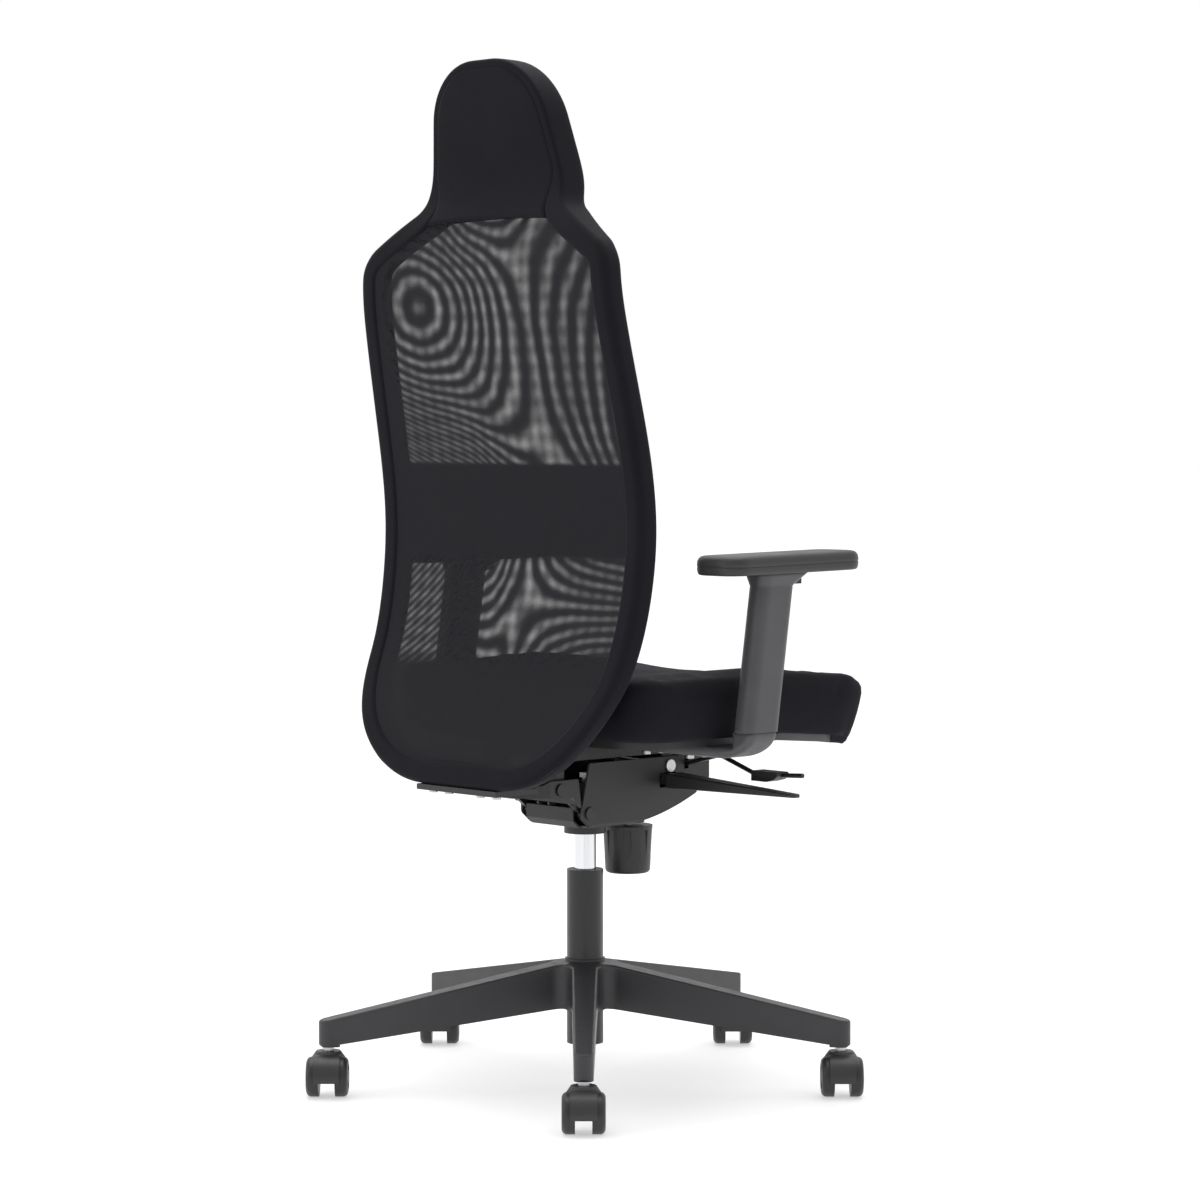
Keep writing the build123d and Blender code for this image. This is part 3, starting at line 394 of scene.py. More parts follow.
def make_border():
    """Knitted sleeve over the hoop of the back."""
    loop, normal = back_loop(BORDER_STEP)
    verts = []
    for (x, z), (nx, nz) in zip(loop, normal):
        crown, section = border_section(float(head_share(z)))
        for inset, radius, lift in section:
            px, pz = x + nx * inset, z + nz * inset
            depth = rear_depth(pz) + crown if lift > 0 else front_depth(pz) + crown
            offset = math.copysign(depth - radius, lift) + radius * lift
            verts.append((px, float(back_line(pz)) + offset, BACK_FOOT + pz))
    faces = grid_faces(len(loop), len(section), True, True)
    piece = new_mesh("border_sleeve", verts, faces)
    subdivide(piece)
    return piece


# Interference fringes between the two layers, as waves fixed to the rear layer.
# Places are x and z in the chair's frame, and each pair is where a change begins and ends.
RING_CENTRE = (0.122, 0.993)
RING_WIDE = 0.045
RING_TALL = 0.038
RING_POWER = 1.57
LEAN_ABOVE = 0.45
LEAN_ABOVE_EASE = (0.0, 0.08)
LEAN_BELOW = 0.7
LEAN_BELOW_EASE = (0.03, 0.2)
LEAN_END = (0.05, 0.2)
RING_KNEE = 0.14
RING_KNEE_SOFT = 0.012
RING_STRETCH = 0.56
RING_TURN = (0.06, 0.30)
RING_TURN_DEPTH = 1.55
RING_TURN_ABOVE = 0.3
AXIS_FALL = 0.12
AXIS_FALL_EASE = (0, 0.1)
AXIS_BEND = 0.55
SADDLE = (-0.034, 0.618)
SADDLE_RISE = 90.0
SADDLE_REACH = 0.115
SADDLE_STEP = 0.035
SADDLE_STEP_EASE = (0.0, 0.06)
STRIPE_START = 0.07
STRIPE_PITCH = 0.0155
FINE_FRINGE = 110.0
STEEPEST = 1000.0
SLOPE_STEP = 0.5 * MM
BAND_EDGE = 6 * MM
# Painted shade: below these heights, where the seat lies behind, the rear layer closes up
SEAT_SHADE = (0.535, 0.56)
SELVEDGE = (0.180, 0.194)
# Painted shade: the rear layer lets less light through towards the right
RIGHT_PAINTED_SHADE = 0.3
RIGHT_PAINTED_SHADE_EASE = (0.02, 0.15)
FINE_LIGHT = 0.6


def ring_order(x, z):
    """Rings above the lumbar band: closed on one side, turning into upright waves on the other."""
    across = RING_CENTRE[0] - x
    up = z - RING_CENTRE[1]
    above = LEAN_ABOVE * up * smooth_step(up, *LEAN_ABOVE_EASE)
    below = LEAN_BELOW * up * smooth_step(-up, *LEAN_BELOW_EASE)
    lean = (above + below) * (1 - smooth_step(across, *LEAN_END))
    past = RING_KNEE_SOFT * np.logaddexp(0, (across - RING_KNEE) / RING_KNEE_SOFT)
    reach = (across + lean - RING_STRETCH * past) / RING_WIDE
    fall = AXIS_FALL * np.maximum(across, 0) * smooth_step(across, *AXIS_FALL_EASE)
    rise = (up + fall + AXIS_BEND * past) / RING_TALL
    steep = 1 - RING_TURN_DEPTH * smooth_step(across, *RING_TURN)
    steep = np.where((steep < 0) & (rise > 0), RING_TURN_ABOVE * steep, steep)
    return np.maximum(reach**2 + steep * rise**2, 0) ** (RING_POWER / 2)


def saddle_order(x, z):
    """Hyperbolas below the lumbar band, with close slanted stripes at the far side."""
    aside, above = x - SADDLE[0], z - SADDLE[1]
    above = above + SADDLE_STEP * smooth_step(aside, *SADDLE_STEP_EASE)
    stripes = np.maximum(0, x - STRIPE_START) / STRIPE_PITCH
    return SADDLE_RISE * np.tanh(aside / SADDLE_REACH) * above + stripes


def fringe_order(x, z):
    """Number of fringes counted from the middle of the rings, or from the middle of the saddle."""
    middle = BACK_FOOT + (LUMBAR_LOW + LUMBAR_HIGH) / 2
    return np.where(z > middle, ring_order(x, z), saddle_order(x, z))


def fringe_contrast(x, z):
    """Contrast of the fringes: less where they lie close."""
    step = SLOPE_STEP
    slope_x = (fringe_order(x + step, z) - fringe_order(x - step, z)) / (2 * step)
    slope_z = (fringe_order(x, z + step) - fringe_order(x, z - step)) / (2 * step)
    return 1 / (1 + np.minimum(slope_x**2 + slope_z**2, STEEPEST**2) / FINE_FRINGE**2)


def fringe_light_with_painted_shade(x, z):
    """Share of light let through: none at the band and the selvedge, and painted shade: none below where the
    seat lies behind, and less at the right.
    """
    low, high = BACK_FOOT + LUMBAR_LOW, BACK_FOOT + LUMBAR_HIGH
    clear = 1 - smooth_step(z, low - BAND_EDGE, low) * (1 - smooth_step(z, high, high + BAND_EDGE))
    fine = FINE_LIGHT + (1 - FINE_LIGHT) * fringe_contrast(x, z)
    # Painted shade: less light let through towards the right, and none where the seat lies behind
    dim = (1 - RIGHT_PAINTED_SHADE * smooth_step(-x, *RIGHT_PAINTED_SHADE_EASE)) * fine
    return clear * dim * smooth_step(z, *SEAT_SHADE) * (1 - smooth_step(x, *SELVEDGE))


def store(piece, name, values):
    """Keep one number per vertex for the piece's material."""
    field = piece.data.attributes.new(name, "FLOAT", "POINT")
    field.data.foreach_set("value", np.asarray(values, np.float32))


def make_mesh_layer(name, side):
    """One stretched layer of mesh, tucked under the border, bowed in slightly at its middle."""
    inset = BORDER - TUCK
    heights = np.linspace(inset, NECK_HEIGHT + TUCK, MESH_ROWS)
    across = np.linspace(-1, 1, MESH_COLUMNS)
    x = back_half_width(heights, inset)[:, None] * across[None, :]
    height = np.repeat(heights[:, None], MESH_COLUMNS, axis=1)
    hollow = MESH_BOW * (1 - across[None, :] ** 2)
    y = back_line(height) + side * (BACK_HALF_DEPTH - MESH_SET_BACK - hollow)
    verts = np.stack([x, y, BACK_FOOT + height], axis=-1).reshape(-1, 3)
    piece = new_mesh(name, verts, grid_faces(MESH_ROWS, MESH_COLUMNS))
    if side > 0:
        x, y, z = points_of(piece).T
        store(piece, "fringe", fringe_order(x, z))
        store(piece, "contrast", fringe_contrast(x, z))
        store(piece, "light", fringe_light_with_painted_shade(x, z))
    return piece


def make_lumbar():
    """Padded band between the layers, rolled over at its top and bottom edge."""
    columns = LUMBAR_COLUMNS
    middle, half = (LUMBAR_LOW + LUMBAR_HIGH) / 2, (LUMBAR_HIGH - LUMBAR_LOW) / 2
    loop = []
    for k in range(LUMBAR_POINTS):
        turn = 2 * math.pi * k / LUMBAR_POINTS
        up = math.copysign(abs(math.sin(turn)) ** LUMBAR_FLAT, math.sin(turn))
        out = math.copysign(abs(math.cos(turn)) ** LUMBAR_ROLL, math.cos(turn))
        loop.append((middle + half * up, LUMBAR_HALF * out))
    verts = []
    for height, out in loop:
        width = float(back_half_width(height, BORDER - TUCK))
        for across in np.linspace(-1, 1, columns):
            verts.append((width * across, float(back_line(height)) + out, BACK_FOOT + height))
    faces = grid_faces(len(loop), columns, True)
    faces.append(tuple(k * columns for k in range(len(loop))))
    faces.append(tuple(k * columns + columns - 1 for k in range(len(loop))))
    return new_mesh("lumbar_pad", verts, faces)


def panel_inset(height):
    """How far the head panel's rim lies inside the outline: a seam's at the head, a border's at the neck."""
    share = smooth_step(height, NECK_HEIGHT, NECK_HEIGHT + PANEL_EASE)
    return BORDER - TUCK + share * (HEAD_SEAM + TUCK - BORDER)


def make_headrest():
    """Padded head panel: flush and seamed behind, crowned in front, tucked into the border all round."""
    rows, columns = HEAD_ROWS, HEAD_COLUMNS
    low = PANEL_FOOT
    loop, normal = back_loop(OUTLINE_STEP)
    high = float((loop + normal * HEAD_SEAM)[:, 1].max()) - HEAD_TOP_GAP
    ease = (1 - np.cos(np.linspace(0, math.pi, rows))) / 2
    heights = low + (high - low) * ease
    widths = np.array([float(back_half_width(h, float(panel_inset(h)))) for h in heights])
    across = np.sin(np.linspace(-math.pi / 2, math.pi / 2, columns))
    x = widths[:, None] * across[None, :]
    height = np.repeat(heights[:, None], columns, axis=1)
    height = height - PANEL_SAG * across[None, :] ** 2 * (1 - smooth_step(height, low, low + PANEL_EASE))
    rim = (1 - np.abs(across))[None, :] * widths[:, None]
    edge = np.minimum(rim, (high - heights)[:, None])
    foot = (heights - low)[:, None]
    nearest = np.minimum(edge, foot)
    roll = arch(np.minimum(edge, foot * FOOT_STEEPNESS), FRONT_ROLL)
    front = FRONT_SIDE * roll + FRONT_CROWN * arch(nearest, FRONT_REACH)
    seam = HEAD_REAR - REAR_SEAM_DEPTH + REAR_SEAM_RISE * arch(nearest, REAR_SEAM_DEPTH)
    rear = seam + REAR_CROWN * arch(nearest, REAR_REACH)
    line = back_line(height)
    lift = BACK_FOOT + height
    ahead = np.stack([x, line - front, lift], axis=-1).reshape(-1, 3)
    behind = np.stack([x, line + rear, lift], axis=-1).reshape(-1, 3)
    count = rows * columns
    faces = grid_faces(rows, columns)
    faces += [tuple(count + v for v in face) for face in grid_faces(rows, columns)]
    ring = list(range(columns))
    ring += [k * columns + columns - 1 for k in range(1, rows)]
    ring += [(rows - 1) * columns + k for k in range(columns - 2, -1, -1)]
    ring += [k * columns for k in range(rows - 2, 0, -1)]
    for a, b in zip(ring, ring[1:] + ring[:1]):
        faces.append((a, b, count + b, count + a))
    piece = new_mesh("headrest_cushion", np.vstack([ahead, behind]), faces)
    points = points_of(piece)
    side = np.interp(points[:, 2] - BACK_FOOT, heights, widths) - np.abs(points[:, 0])
    flat_side = points[:, 1] > back_line(points[:, 2] - BACK_FOOT)
    held = (side < HEAD_HELD) | (points[:, 2] - BACK_FOOT > high - HEAD_HELD) | flat_side
    inflate(piece, held, HEAD_PRESSURE, HEAD_SWELL)
    return piece


# Seat cushion: plan, and heights of its top along the way from rear to front
SEAT_HALF = 245 * MM
SEAT_FRONT = -291.5 * MM
SEAT_REAR = 128 * MM
SEAT_CORNER = 48 * MM
SEAT_POINTS = 220
SEAT_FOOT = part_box("seat_pan")[1].z
SEAT_SHARES = (0.0, 0.3, 0.5, 0.7, 0.9, 1.0)
SEAT_MIDDLE = (0.528, 0.523, 0.5215, 0.5195, 0.516, 0.511)
SEAT_SIDE = (0.533, 0.5345, 0.536, 0.533, 0.5265, 0.516)
PAN_BEND = 122 * MM
PAN_FALL = 11.3 * MM
PAN_FRONT = 257 * MM
LIP_HANG = 12.5 * MM
LIP_WIDTH = 19 * MM
BOLSTER = (0.25, 1.0)
# Wall: share of its height, and its insets in millimetres at the sides, front and rear
SEAT_WALL = (
    (0.0, 10, 36.9, 10),
    (0.0, 9.8, 36.1, 9.8),
    (0.0, 9, 28.5, 9),
    (0.05, 6.5, 25.5, 6),
    (0.15, 4.5, 21, 4),
    (0.3, 2.6, 15, 2.4),
    (0.45, 1.4, 9.5, 1.2),
    (0.6, 0.6, 4.8, 0.4),
    (0.74, 0.2, 1.2, 0.4),
    (0.84, 0.8, 0.8, 1.4),
    (0.91, 2.2, 3.6, 3.2),
    (0.96, 4.6, 9.0, 6.0),
    (0.985, 8.0, 16.5, 10.0),
    (1.0, 12.5, 25.0, 15.0),
)
# Loops that close the underside and the top: shares of their size, and insets of the largest
FOOT_SHARES = (0.12, 0.35, 0.6, 0.8, 0.93)
FOOT_INSETS = (10 * MM, 37.5 * MM, 10 * MM)
FOOT_CORE = 16 * MM
TOP_SHARES = (0.96, 0.9, 0.82, 0.7, 0.55, 0.4, 0.25, 0.12)
TOP_INSETS = (15 * MM, 28 * MM, 17 * MM)
TOP_CORE = 20 * MM
RIM_DROP = 0.5 * MM
SEAT_HELD = 12 * MM
SEAT_PRESSURE = 1.0
SEAT_SWELL = 3.5 * MM


def seat_top(x, y):
    """Height of the seat's top: dished across, and falling at the front edge."""
    share = np.clip((SEAT_REAR - y) / (SEAT_REAR - SEAT_FRONT), 0, 1)
    middle = np.interp(share, SEAT_SHARES, SEAT_MIDDLE)
    side = np.interp(share, SEAT_SHARES, SEAT_SIDE)
    bolster = smooth_step(np.abs(x) / SEAT_HALF, *BOLSTER)
    return middle + (side - middle) * bolster


def seat_foot(y):
    """Underside of the cushion: on the pan, which falls to the front, with a lip over its front edge."""
    fall = PAN_FALL * np.clip((-y - PAN_BEND) / (PAN_FRONT - PAN_BEND), 0, 1)
    return SEAT_FOOT - fall - LIP_HANG * smooth_step(-y, PAN_FRONT - LIP_WIDTH, PAN_FRONT)


def seat_loop(insets, corner):
    """Rounded rectangle of the seat's plan, drawn in by insets at the sides, front and rear."""
    side, front, rear = insets
    points = rectangle(SEAT_HALF - side, SEAT_FRONT + front, SEAT_REAR - rear, corner)
    middle = (SEAT_FRONT + front + SEAT_REAR - rear) / 2
    start = np.argmin(np.where(points[:, 1] > middle, np.inf, np.abs(points[:, 0])))
    return spaced(np.roll(points, -start, axis=0), SEAT_POINTS)


def shrunk_loops(shares, insets, core):
    """Shrunk copies of the seat's plan: insets and corner radius of each."""
    half_depth = (SEAT_REAR - SEAT_FRONT) / 2 - core
    return [([inset + (1 - share) * half_depth for inset in insets], SEAT_CORNER * share) for share in shares]


def make_seat():
    """Moulded cushion: drawn-in sides, a nose that leans back to its foot, and a dished top."""
    plans, shares = [], []
    for insets, corner in shrunk_loops(FOOT_SHARES, FOOT_INSETS, FOOT_CORE):
        plans.append(seat_loop(insets, corner))
        shares.append(0.0)
    for share, *insets in SEAT_WALL:
        plans.append(seat_loop([inset * MM for inset in insets], SEAT_CORNER))
        shares.append(share)
    for insets, corner in shrunk_loops(TOP_SHARES, TOP_INSETS, TOP_CORE):
        plans.append(seat_loop(insets, corner))
        shares.append(None)
    verts = []
    for plan, share in zip(plans, shares):
        top, foot = seat_top(plan[:, 0], plan[:, 1]), seat_foot(plan[:, 1])
        heights = top if share is None else foot + (top - RIM_DROP - foot) * share
        verts += [(x, y, z) for (x, y), z in zip(plan, heights)]
    piece = loft("seat_upholstery", verts, len(plans), SEAT_POINTS)
    points = points_of(piece)
    held = points[:, 2] < seat_foot(points[:, 1]) + SEAT_HELD
    inflate(piece, held, SEAT_PRESSURE, SEAT_SWELL)
    return piece


# Arm pads: the tip is the angle by which the front end lies higher
PAD_LENGTH = 238 * MM
PAD_WIDTH = 80 * MM
PAD_CORNER = 28 * MM
PAD_THICKNESS = 24.5 * MM
PAD_LIFT = 1.3 * MM
PAD_TIP = math.radians(0.8)
PAD_POINTS = 120
# Profile of the pads' edge: inset in millimetres and share of the thickness, with a parting groove
PAD_PROFILE = (
    (30, 0.0),
    (14, 0.0),
    (6, 0.0),
    (3.0, 0.02),
    (1.2, 0.09),
    (0.3, 0.22),
    (0.0, 0.36),
    (0.0, 0.405),
    (0.7, 0.42),
    (0.7, 0.44),
    (0.0, 0.455),
    (0.0, 0.6),
    (0.6, 0.74),
    (2.4, 0.86),
    (5.2, 0.94),
    (9.0, 0.975),
    (15, 0.99),
    (24, 0.998),
    (33, 1.0),
)


def make_arm_pad(side):
    """Soft pad with a crowned top, rounded edges and a moulded parting line."""
    low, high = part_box(f"arm_pad_{side}")
    middle = (low + high) / 2
    verts = []
    for inset, share in PAD_PROFILE:
        half_x, half_y = PAD_WIDTH / 2 - inset * MM, PAD_LENGTH / 2 - inset * MM
        up = PAD_THICKNESS * (share - 0.5)
        for x, y in spaced(rectangle(half_x, -half_y, half_y, PAD_CORNER - inset * MM), PAD_POINTS):
            back = y * math.cos(PAD_TIP) + up * math.sin(PAD_TIP)
            lift = up * math.cos(PAD_TIP) - y * math.sin(PAD_TIP)
            verts.append((middle.x + x, middle.y + back, middle.z + PAD_LIFT + lift))
    return loft(f"armrest_pad_{side}", verts, len(PAD_PROFILE), PAD_POINTS)


# Materials


class Nodes:
    """Short way to build a material's node tree."""

    def __init__(self, name):
        self.material = bpy.data.materials.new(name)
        self.material.use_nodes = True
        self.tree = self.material.node_tree
        self.shader = self.tree.nodes["Principled BSDF"]
        self.place = self.add("ShaderNodeTexCoord").outputs["Object"]

    def add(self, kind, **values):
        node = self.tree.nodes.new(kind)
        for key, value in values.items():
            setattr(node, key, value)
        return node

    def link(self, source, target):
        self.tree.links.new(source, target)

    def feed(self, socket, value):
        """Link an output to a socket, or set a plain value on it."""
        if isinstance(value, bpy.types.NodeSocket):
            self.link(value, socket)
        else:
            socket.default_value = value

    def math(self, operation, a, b=0.0, clamp=False):
        node = self.add("ShaderNodeMath", operation=operation, use_clamp=clamp)
        self.feed(node.inputs[0], a)
        self.feed(node.inputs[1], b)
        return node.outputs[0]

    def noise(self, scale, detail=2.0, roughness=0.5, place=None):
        node = self.add("ShaderNodeTexNoise")
        self.link(place or self.place, node.inputs["Vector"])
        node.inputs["Scale"].default_value = scale
        node.inputs["Detail"].default_value = detail
        node.inputs["Roughness"].default_value = roughness
        return node.outputs["Fac"]

    def cells(self, scale):
        node = self.add("ShaderNodeTexVoronoi", feature="SMOOTH_F1")
        self.link(self.place, node.inputs["Vector"])
        node.inputs["Scale"].default_value = scale
        return node.outputs["Distance"]

    def axes(self):
        node = self.add("ShaderNodeSeparateXYZ")
        self.link(self.place, node.inputs[0])
        return node.outputs

    def stretched(self, x, y, z):
        """Coordinates scaled apart, for streaks."""
        node = self.add("ShaderNodeMapping")
        self.link(self.place, node.inputs["Vector"])
        node.inputs["Scale"].default_value = (x, y, z)
        return node.outputs[0]

    def spread(self, value, low, high, from_low=0.3, from_high=0.7):
        node = self.add("ShaderNodeMapRange")
        self.feed(node.inputs["Value"], value)
        node.inputs["From Min"].default_value = from_low
        node.inputs["From Max"].default_value = from_high
        node.inputs["To Min"].default_value = low
        node.inputs["To Max"].default_value = high
        return node.outputs[0]

    def shades(self, value, dark, light):
        node = self.add("ShaderNodeMix", data_type="RGBA")
        self.feed(node.inputs["Factor"], value)
        node.inputs["A"].default_value = (*dark, 1)
        node.inputs["B"].default_value = (*light, 1)
        return node.outputs["Result"]

    def relief(self, height, strength, distance, normal=None):
        node = self.add("ShaderNodeBump")
        self.link(height, node.inputs["Height"])
        node.inputs["Strength"].default_value = strength
        node.inputs["Distance"].default_value = distance
        if normal is not None:
            self.link(normal, node.inputs["Normal"])
        return node.outputs[0]

    def soft_edges(self, radius):
        node = self.add("ShaderNodeBevel", samples=4)
        node.inputs["Radius"].default_value = radius
        return node.outputs[0]

    def surface(self, **values):
        """Feed the main shader's sockets by name, with spaces as underscores."""
        for key, value in values.items():
            self.feed(self.shader.inputs[key.replace("_", " ")], value)
        return self.material


def tint(colour, factor):
    """A colour made lighter or darker."""
    return tuple(min(1.0, c * factor) for c in colour)


# Sizes of the surfaces' texture
GRAIN_SCALE = 2200
GRAIN_DEPTH = 0.3 * MM
PEEL_DEPTH = 0.4 * MM
STREAK_DEPTH = 0.2 * MM
KNIT_DEPTH = 0.4 * MM
KNIT_LIFT = 0.35
MOULDED_EDGE = 1.2 * MM
PAINTED_EDGE = 0.8 * MM
ARM_EDGE = 7 * MM
HOLE_PITCH = 2.4 * MM
HOLE_LIFT = 0.3
HOLE_LIGHT = 0.02
FRINGE_WANDER = 0.3
FRINGE_SHARPNESS = 1.9
BEAD_PITCH = 21.5 * MM
BEADS = (0.5, 1.5)


def moulded(name, colour, roughness, grain=0.12, edge=MOULDED_EDGE):
    """Moulded plastic with a fine spark-eroded grain, faint flow marks and rounded edges."""
    n = Nodes(name)
    flow = n.noise(scale=14, detail=3, roughness=0.6)
    speck = n.noise(scale=GRAIN_SCALE)
    shade = n.math("ADD", n.math("MULTIPLY", flow, 0.7), n.math("MULTIPLY", speck, 0.3))
    scuff = n.noise(scale=60, detail=5, roughness=0.7)
    return n.surface(
        Base_Color=n.shades(n.spread(shade, 0, 1), tint(colour, 0.88), tint(colour, 1.12)),
        Roughness=n.spread(scuff, roughness - 0.05, roughness + 0.07),
        Specular_IOR_Level=0.5,
        Normal=n.relief(speck, grain, GRAIN_DEPTH, n.soft_edges(edge)),
    )


def painted(name, colour, roughness):
    """Powder-coated metal: orange peel and a little dust."""
    n = Nodes(name)
    peel = n.noise(scale=700)
    dust = n.noise(scale=30, detail=6, roughness=0.7)
    return n.surface(
        Base_Color=n.shades(n.spread(dust, 0, 1), tint(colour, 0.85), tint(colour, 1.2)),
        Roughness=n.spread(dust, roughness - 0.04, roughness + 0.08),
        Specular_IOR_Level=0.5,
        Normal=n.relief(peel, 0.15, PEEL_DEPTH, n.soft_edges(PAINTED_EDGE)),
    )


def bright_metal(name, colour, roughness, streaks):
    """Bare or plated steel with fine lengthwise streaks."""
    n = Nodes(name)
    streak = n.noise(scale=1, detail=4, roughness=0.6, place=n.stretched(*streaks))
    smudge = n.noise(scale=45, detail=4)
    return n.surface(
        Base_Color=n.shades(n.spread(streak, 0, 1), tint(colour, 0.86), tint(colour, 1.05)),
        Metallic=1.0,
        Roughness=n.spread(smudge, roughness * 0.7, roughness * 1.4),
        Normal=n.relief(streak, 0.05, STREAK_DEPTH),
    )


def knit_height(n, pitch):
    """Height of a fine knit: rows of loops that cross slanted ribs, in object space."""
    x, y, z = n.axes()
    turn = 2 * math.pi / pitch
    across = n.math("SINE", n.math("MULTIPLY", n.math("ADD", x, y), turn * 0.7))
    slant = n.math("SINE", n.math("MULTIPLY", n.math("SUBTRACT", x, y), turn * 0.7))
    rows = n.math("SINE", n.math("MULTIPLY", z, turn))
    loops = n.math("ADD", n.math("MULTIPLY", across, slant), n.math("MULTIPLY", rows, 0.6))
    fuzz = n.noise(scale=1800, detail=3)
    return n.math("ADD", n.math("MULTIPLY", loops, 0.25), fuzz)


def knit(name, colour, pitch, sheen):
    """Close black knit with slight unevenness and, where it has any, a soft sheen."""
    n = Nodes(name)
    height = knit_height(n, pitch)
    uneven = n.noise(scale=9, detail=3, roughness=0.6)
    lint = n.noise(scale=420, detail=4, roughness=0.7)
    shade = n.math("ADD", n.math("MULTIPLY", uneven, 0.5), n.math("MULTIPLY", lint, 0.5))
    shade = n.spread(shade, 0, 1, from_low=0.38, from_high=0.62)
    return n.surface(
        Base_Color=n.shades(shade, tint(colour, 0.8), tint(colour, 1.25)),
        Roughness=n.spread(lint, 0.82, 0.95),
        Specular_IOR_Level=0.18,
        Sheen_Weight=sheen,
        Sheen_Roughness=0.45,
        Sheen_Tint=(0.75, 0.76, 0.85, 1),
        Normal=n.relief(height, KNIT_LIFT, KNIT_DEPTH),
    )


def fringe_openness(n, x, z, low, high):
    """Openness of the rear layer: from low to high across the fringes, beaded, and dimmed by its light share,
    which holds painted shade at the seat and at the right.
    """
    order, contrast, light = (
        n.add("ShaderNodeAttribute", attribute_name=field).outputs["Fac"]
        for field in ("fringe", "contrast", "light")
    )
    wander = n.math("MULTIPLY", n.noise(scale=18), FRINGE_WANDER)
    wave = n.math("COSINE", n.math("MULTIPLY", n.math("ADD", order, wander), 2 * math.pi))
    wave = n.spread(n.math("MULTIPLY", wave, contrast), 0.0, 1.0, from_low=-1.0, from_high=1.0)
    lit = n.math("POWER", wave, FRINGE_SHARPNESS)
    upright, level = (n.math("COSINE", n.math("MULTIPLY", axis, 2 * math.pi / BEAD_PITCH)) for axis in (x, z))
    beads = n.spread(n.math("ADD", upright, level), *BEADS, from_low=-2.0, from_high=2.0)
    uneven = n.spread(n.noise(scale=30), 0.85, 1.15)
    passed = n.spread(lit, low, high, from_low=0.0, from_high=1.0)
    passed = n.math("MULTIPLY", passed, n.math("MULTIPLY", beads, uneven))
    return n.math("MULTIPLY", passed, light)


def open_mesh(name, colour, open_low, open_high, fringes):
    """Open knitted mesh: part of the light passes, more of it along the fringes where there are any."""
    n = Nodes(name)
    x, _, z = n.axes()
    turn = 2 * math.pi / HOLE_PITCH
    across, up = (n.math("SINE", n.math("MULTIPLY", axis, turn)) for axis in (x, z))
    holes = n.math("MULTIPLY", across, up)
    if fringes:
        passed = fringe_openness(n, x, z, open_low, open_high)
    else:
        passed = n.spread(n.noise(scale=160, detail=3), open_low, open_high)
    passed = n.math("ADD", passed, n.math("MULTIPLY", holes, HOLE_LIGHT), True)
    thread = n.noise(scale=900, detail=3)
    return n.surface(
        Base_Color=n.shades(n.spread(thread, 0, 1), tint(colour, 0.8), tint(colour, 1.3)),
        Roughness=n.spread(thread, 0.8, 0.95),
        Specular_IOR_Level=0.15,
        Sheen_Weight=0.06,
        Sheen_Roughness=0.5,
        Alpha=n.math("SUBTRACT", 1.0, passed, True),
        Normal=n.relief(holes, HOLE_LIFT, KNIT_DEPTH),
    )


def skin_foam(name, colour):
    """Integral-skin foam with a pebbled grain."""
    n = Nodes(name)
    pebble = n.cells(scale=900)
    haze = n.noise(scale=20, detail=4, roughness=0.6)
    return n.surface(
        Base_Color=n.shades(n.spread(haze, 0, 1), tint(colour, 0.9), tint(colour, 1.12)),
        Roughness=n.spread(haze, 0.44, 0.56),
        Specular_IOR_Level=0.5,
        Normal=n.relief(pebble, 0.12, GRAIN_DEPTH),
    )


def pan_plastic():
    """Moulded plastic of the seat pan, with painted light and shade: paler at the front edge, where the floor
    lights it, and dark further back under the seat.
    """
    n = Nodes("pan_plastic")
    _, y, _ = n.axes()
    speck = n.noise(scale=GRAIN_SCALE)
    # Painted light and shade: pale at the front edge, dark towards the rear under the seat
    front = n.spread(y, 1.0, 0.0, from_low=-0.16, from_high=-0.06)
    return n.surface(
        Base_Color=n.shades(front, (0.017, 0.017, 0.018), (0.078, 0.078, 0.078)),
        Roughness=n.spread(speck, 0.46, 0.56),
        Normal=n.relief(speck, 0.15, GRAIN_DEPTH, n.soft_edges(MOULDED_EDGE)),
    )


def make_materials():
    """All materials, by the record's slot or by the piece that they are kept for."""
    mesh_colour = (0.0095, 0.0091, 0.0124)
    return {
        "nylon": moulded("arm_nylon", (0.060, 0.059, 0.066), 0.40, edge=ARM_EDGE),
        # Darker copy of the arms' nylon for the star base: painted shade
        "base_nylon_shaded": moulded("base_nylon_shaded", (0.030, 0.0295, 0.033), 0.40),
        "housing_paint": painted("housing_paint", (0.021, 0.021, 0.021), 0.5),
        "black_steel": painted("black_steel", (0.010, 0.010, 0.010), 0.30),
        "bright_steel": bright_metal("bright_steel", (0.55, 0.55, 0.56), 0.28, streaks=(300, 300, 40)),
        "chrome": bright_metal("chrome", (0.74, 0.75, 0.77), 0.1, streaks=(500, 500, 8)),
        "black_plastic": moulded("black_plastic", (0.016, 0.016, 0.018), 0.45, grain=0.15),
        "pan_plastic": pan_plastic(),
        "pad_foam": skin_foam("pad_foam", (0.022, 0.022, 0.023)),
        "seat_fabric": knit("seat_knit", (0.0080, 0.0076, 0.0114), pitch=1.6 * MM, sheen=0.0),
        "border_fabric": knit("border_knit", (0.0060, 0.0056, 0.0086), pitch=1.4 * MM, sheen=0.05),
        "mesh_fabric": open_mesh("mesh_front", mesh_colour, 0.40, 0.5, fringes=False),
        "mesh_fringed": open_mesh("mesh_rear", mesh_colour, 0.008, 0.38, fringes=True),
        "caster_plastic": moulded("caster_plastic", (0.017, 0.017, 0.018), 0.4, grain=0.1),
        "hood_plastic": moulded("hood_plastic", (0.025, 0.025, 0.026), 0.4, grain=0.1),
    }


def dress(piece, material):
    """Give a piece one material all over."""
    piece.data.materials.clear()
    piece.data.materials.append(material)


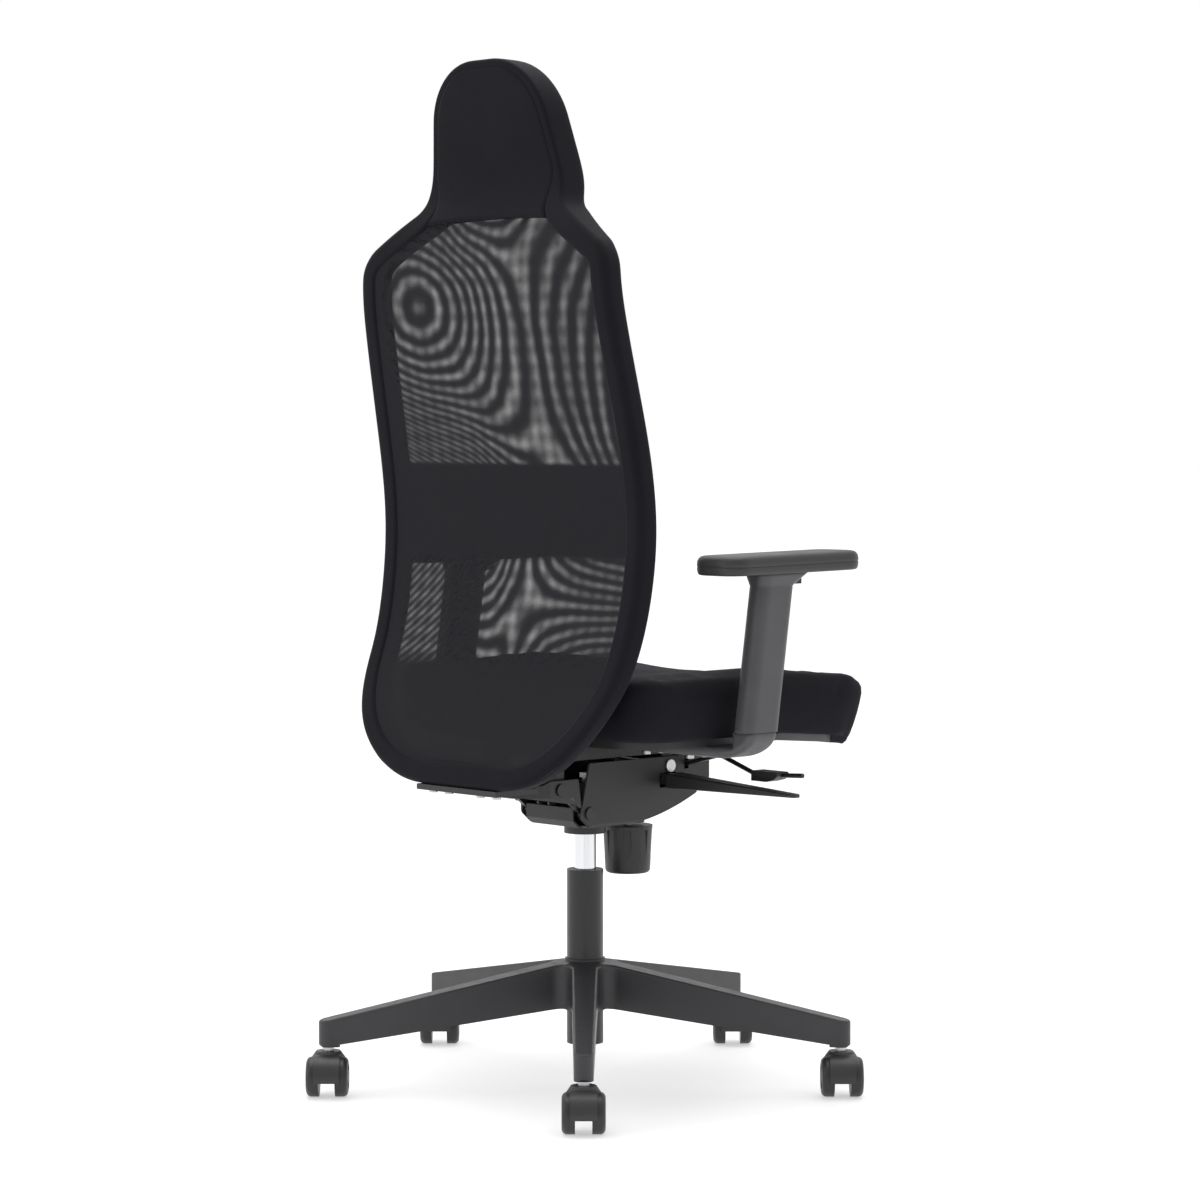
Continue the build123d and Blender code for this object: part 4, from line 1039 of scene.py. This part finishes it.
# Nodes whose look is not that of their record's slot; the star base's darker copy of the nylon is painted
# shade
OWN_LOOK = {"tension_spring": "black_steel", "star_base": "base_nylon_shaded"}


def dress_cad(materials):
    """Materials of the CAD nodes that stay in view."""
    for row in frame["record"]["subparts"]:
        name = row["node"]
        slot = "hood_plastic" if name.endswith("_hood") else OWN_LOOK.get(name, row["material_slot"])
        for place in nodes[name].material_slots:
            place.material = materials[slot]


def add_soft(piece, body, material, replaced):
    """Dress a soft piece, let it ride on its body, and let it stand for its CAD solid."""
    dress(piece, material)
    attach(piece, body)
    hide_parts(replaced)
    return piece


def build_soft(materials):
    """All the soft pieces of the chair."""
    border = add_soft(make_border(), "back", materials["border_fabric"], "back_border")
    for name, side, slot in (("mesh_front", -1, "mesh_fabric"), ("mesh_rear", 1, "mesh_fringed")):
        layer = make_mesh_layer(name, side)
        add_soft(layer, "back", materials[slot], "front_mesh" if side < 0 else "rear_mesh")
    lumbar = add_soft(make_lumbar(), "back", materials["border_fabric"], "lumbar_band")
    head = add_soft(make_headrest(), "back", materials["border_fabric"], "headrest_pad")
    seat = add_soft(make_seat(), "seat", materials["seat_fabric"], "seat_cushion")
    for side in ("left", "right"):
        pad = make_arm_pad(side)
        add_soft(pad, f"arm_{side}", materials["pad_foam"], f"arm_pad_{side}")


# Stage: the studio is dimmer towards one side, which draws the round shapes
DIM_SIDE = (-0.73, 0.68, 0.0)
DIM_FROM = (0.1, 0.9)
STUDIO_STRENGTH = (1.0, 0.6)
FLOOR_REACH = 40.0
FLOOR_SHADES = ((0.62, 0.62, 0.62), (0.64, 0.64, 0.64))
FLOOR_GLOW = 0.48
# Lights: name, place, aim, size and power
LIGHTS = (
    ("key", (0.6, -0.4, 3.6), (0, 0, 0.5), (3.0, 3.0), 70),
    ("fill", (1.2, 4.2, 2.2), (0, 0, 0.6), (2.0, 2.4), 20),
)
CAMERA_PLACE = (-3.282, 3.061, 0.84)
CAMERA_AIM = (-0.0131, -0.0141, 0.6187)
CAMERA_LENS = 105.0
CAMERA_SENSOR = 36.0


def place_object(name, data, place, aim):
    """Object for a light or camera at a place, turned to a point."""
    holder = bpy.data.objects.new(name, data)
    holder.location = place
    holder.rotation_euler = (Vector(aim) - Vector(place)).to_track_quat("-Z", "Y").to_euler()
    bpy.context.scene.collection.objects.link(holder)
    return holder


def build_studio():
    """White surroundings, dimmed towards one side."""
    world = bpy.data.worlds.new("studio")
    bpy.context.scene.world = world
    world.use_nodes = True
    tree = world.node_tree
    sky = tree.nodes["Background"]
    sky.inputs["Color"].default_value = (1, 1, 1, 1)
    toward = tree.nodes.new("ShaderNodeTexCoord").outputs["Generated"]
    side = tree.nodes.new("ShaderNodeVectorMath")
    side.operation = "DOT_PRODUCT"
    tree.links.new(toward, side.inputs[0])
    side.inputs[1].default_value = DIM_SIDE
    dim = tree.nodes.new("ShaderNodeMapRange")
    tree.links.new(side.outputs["Value"], dim.inputs["Value"])
    ends = ("From Min", "From Max", "To Min", "To Max")
    for socket, value in zip(ends, DIM_FROM + STUDIO_STRENGTH):
        dim.inputs[socket].default_value = value
    tree.links.new(dim.outputs[0], sky.inputs["Strength"])


def build_floor():
    """Pale floor that fades into the white surroundings."""
    plan = ((-1, -1), (1, -1), (1, 1), (-1, 1))
    corners = [(x * FLOOR_REACH, y * FLOOR_REACH, 0) for x, y in plan]
    floor = new_mesh("floor", corners, [(0, 1, 2, 3)], False)
    n = Nodes("floor_white")
    material = n.surface(
        Base_Color=n.shades(n.noise(scale=3), *FLOOR_SHADES),
        Roughness=0.6,
        Specular_IOR_Level=0.1,
        Emission_Color=(1, 1, 1, 1),
        Emission_Strength=FLOOR_GLOW,
    )
    dress(floor, material)


def build_stage():
    """Surroundings, floor, soft lights and the camera."""
    build_studio()
    build_floor()
    for name, place, aim, size, power in LIGHTS:
        lamp = bpy.data.lights.new(name, "AREA")
        lamp.shape = "RECTANGLE"
        lamp.size, lamp.size_y = size
        lamp.energy = power
        place_object(name, lamp, place, aim)
    lens = bpy.data.cameras.new("camera")
    lens.lens = CAMERA_LENS
    lens.sensor_width = CAMERA_SENSOR
    scene = bpy.context.scene
    scene.camera = place_object("camera", lens, CAMERA_PLACE, CAMERA_AIM)
    scene.view_settings.view_transform = "Standard"


materials = make_materials()
dress_cad(materials)
build_soft(materials)
build_stage()
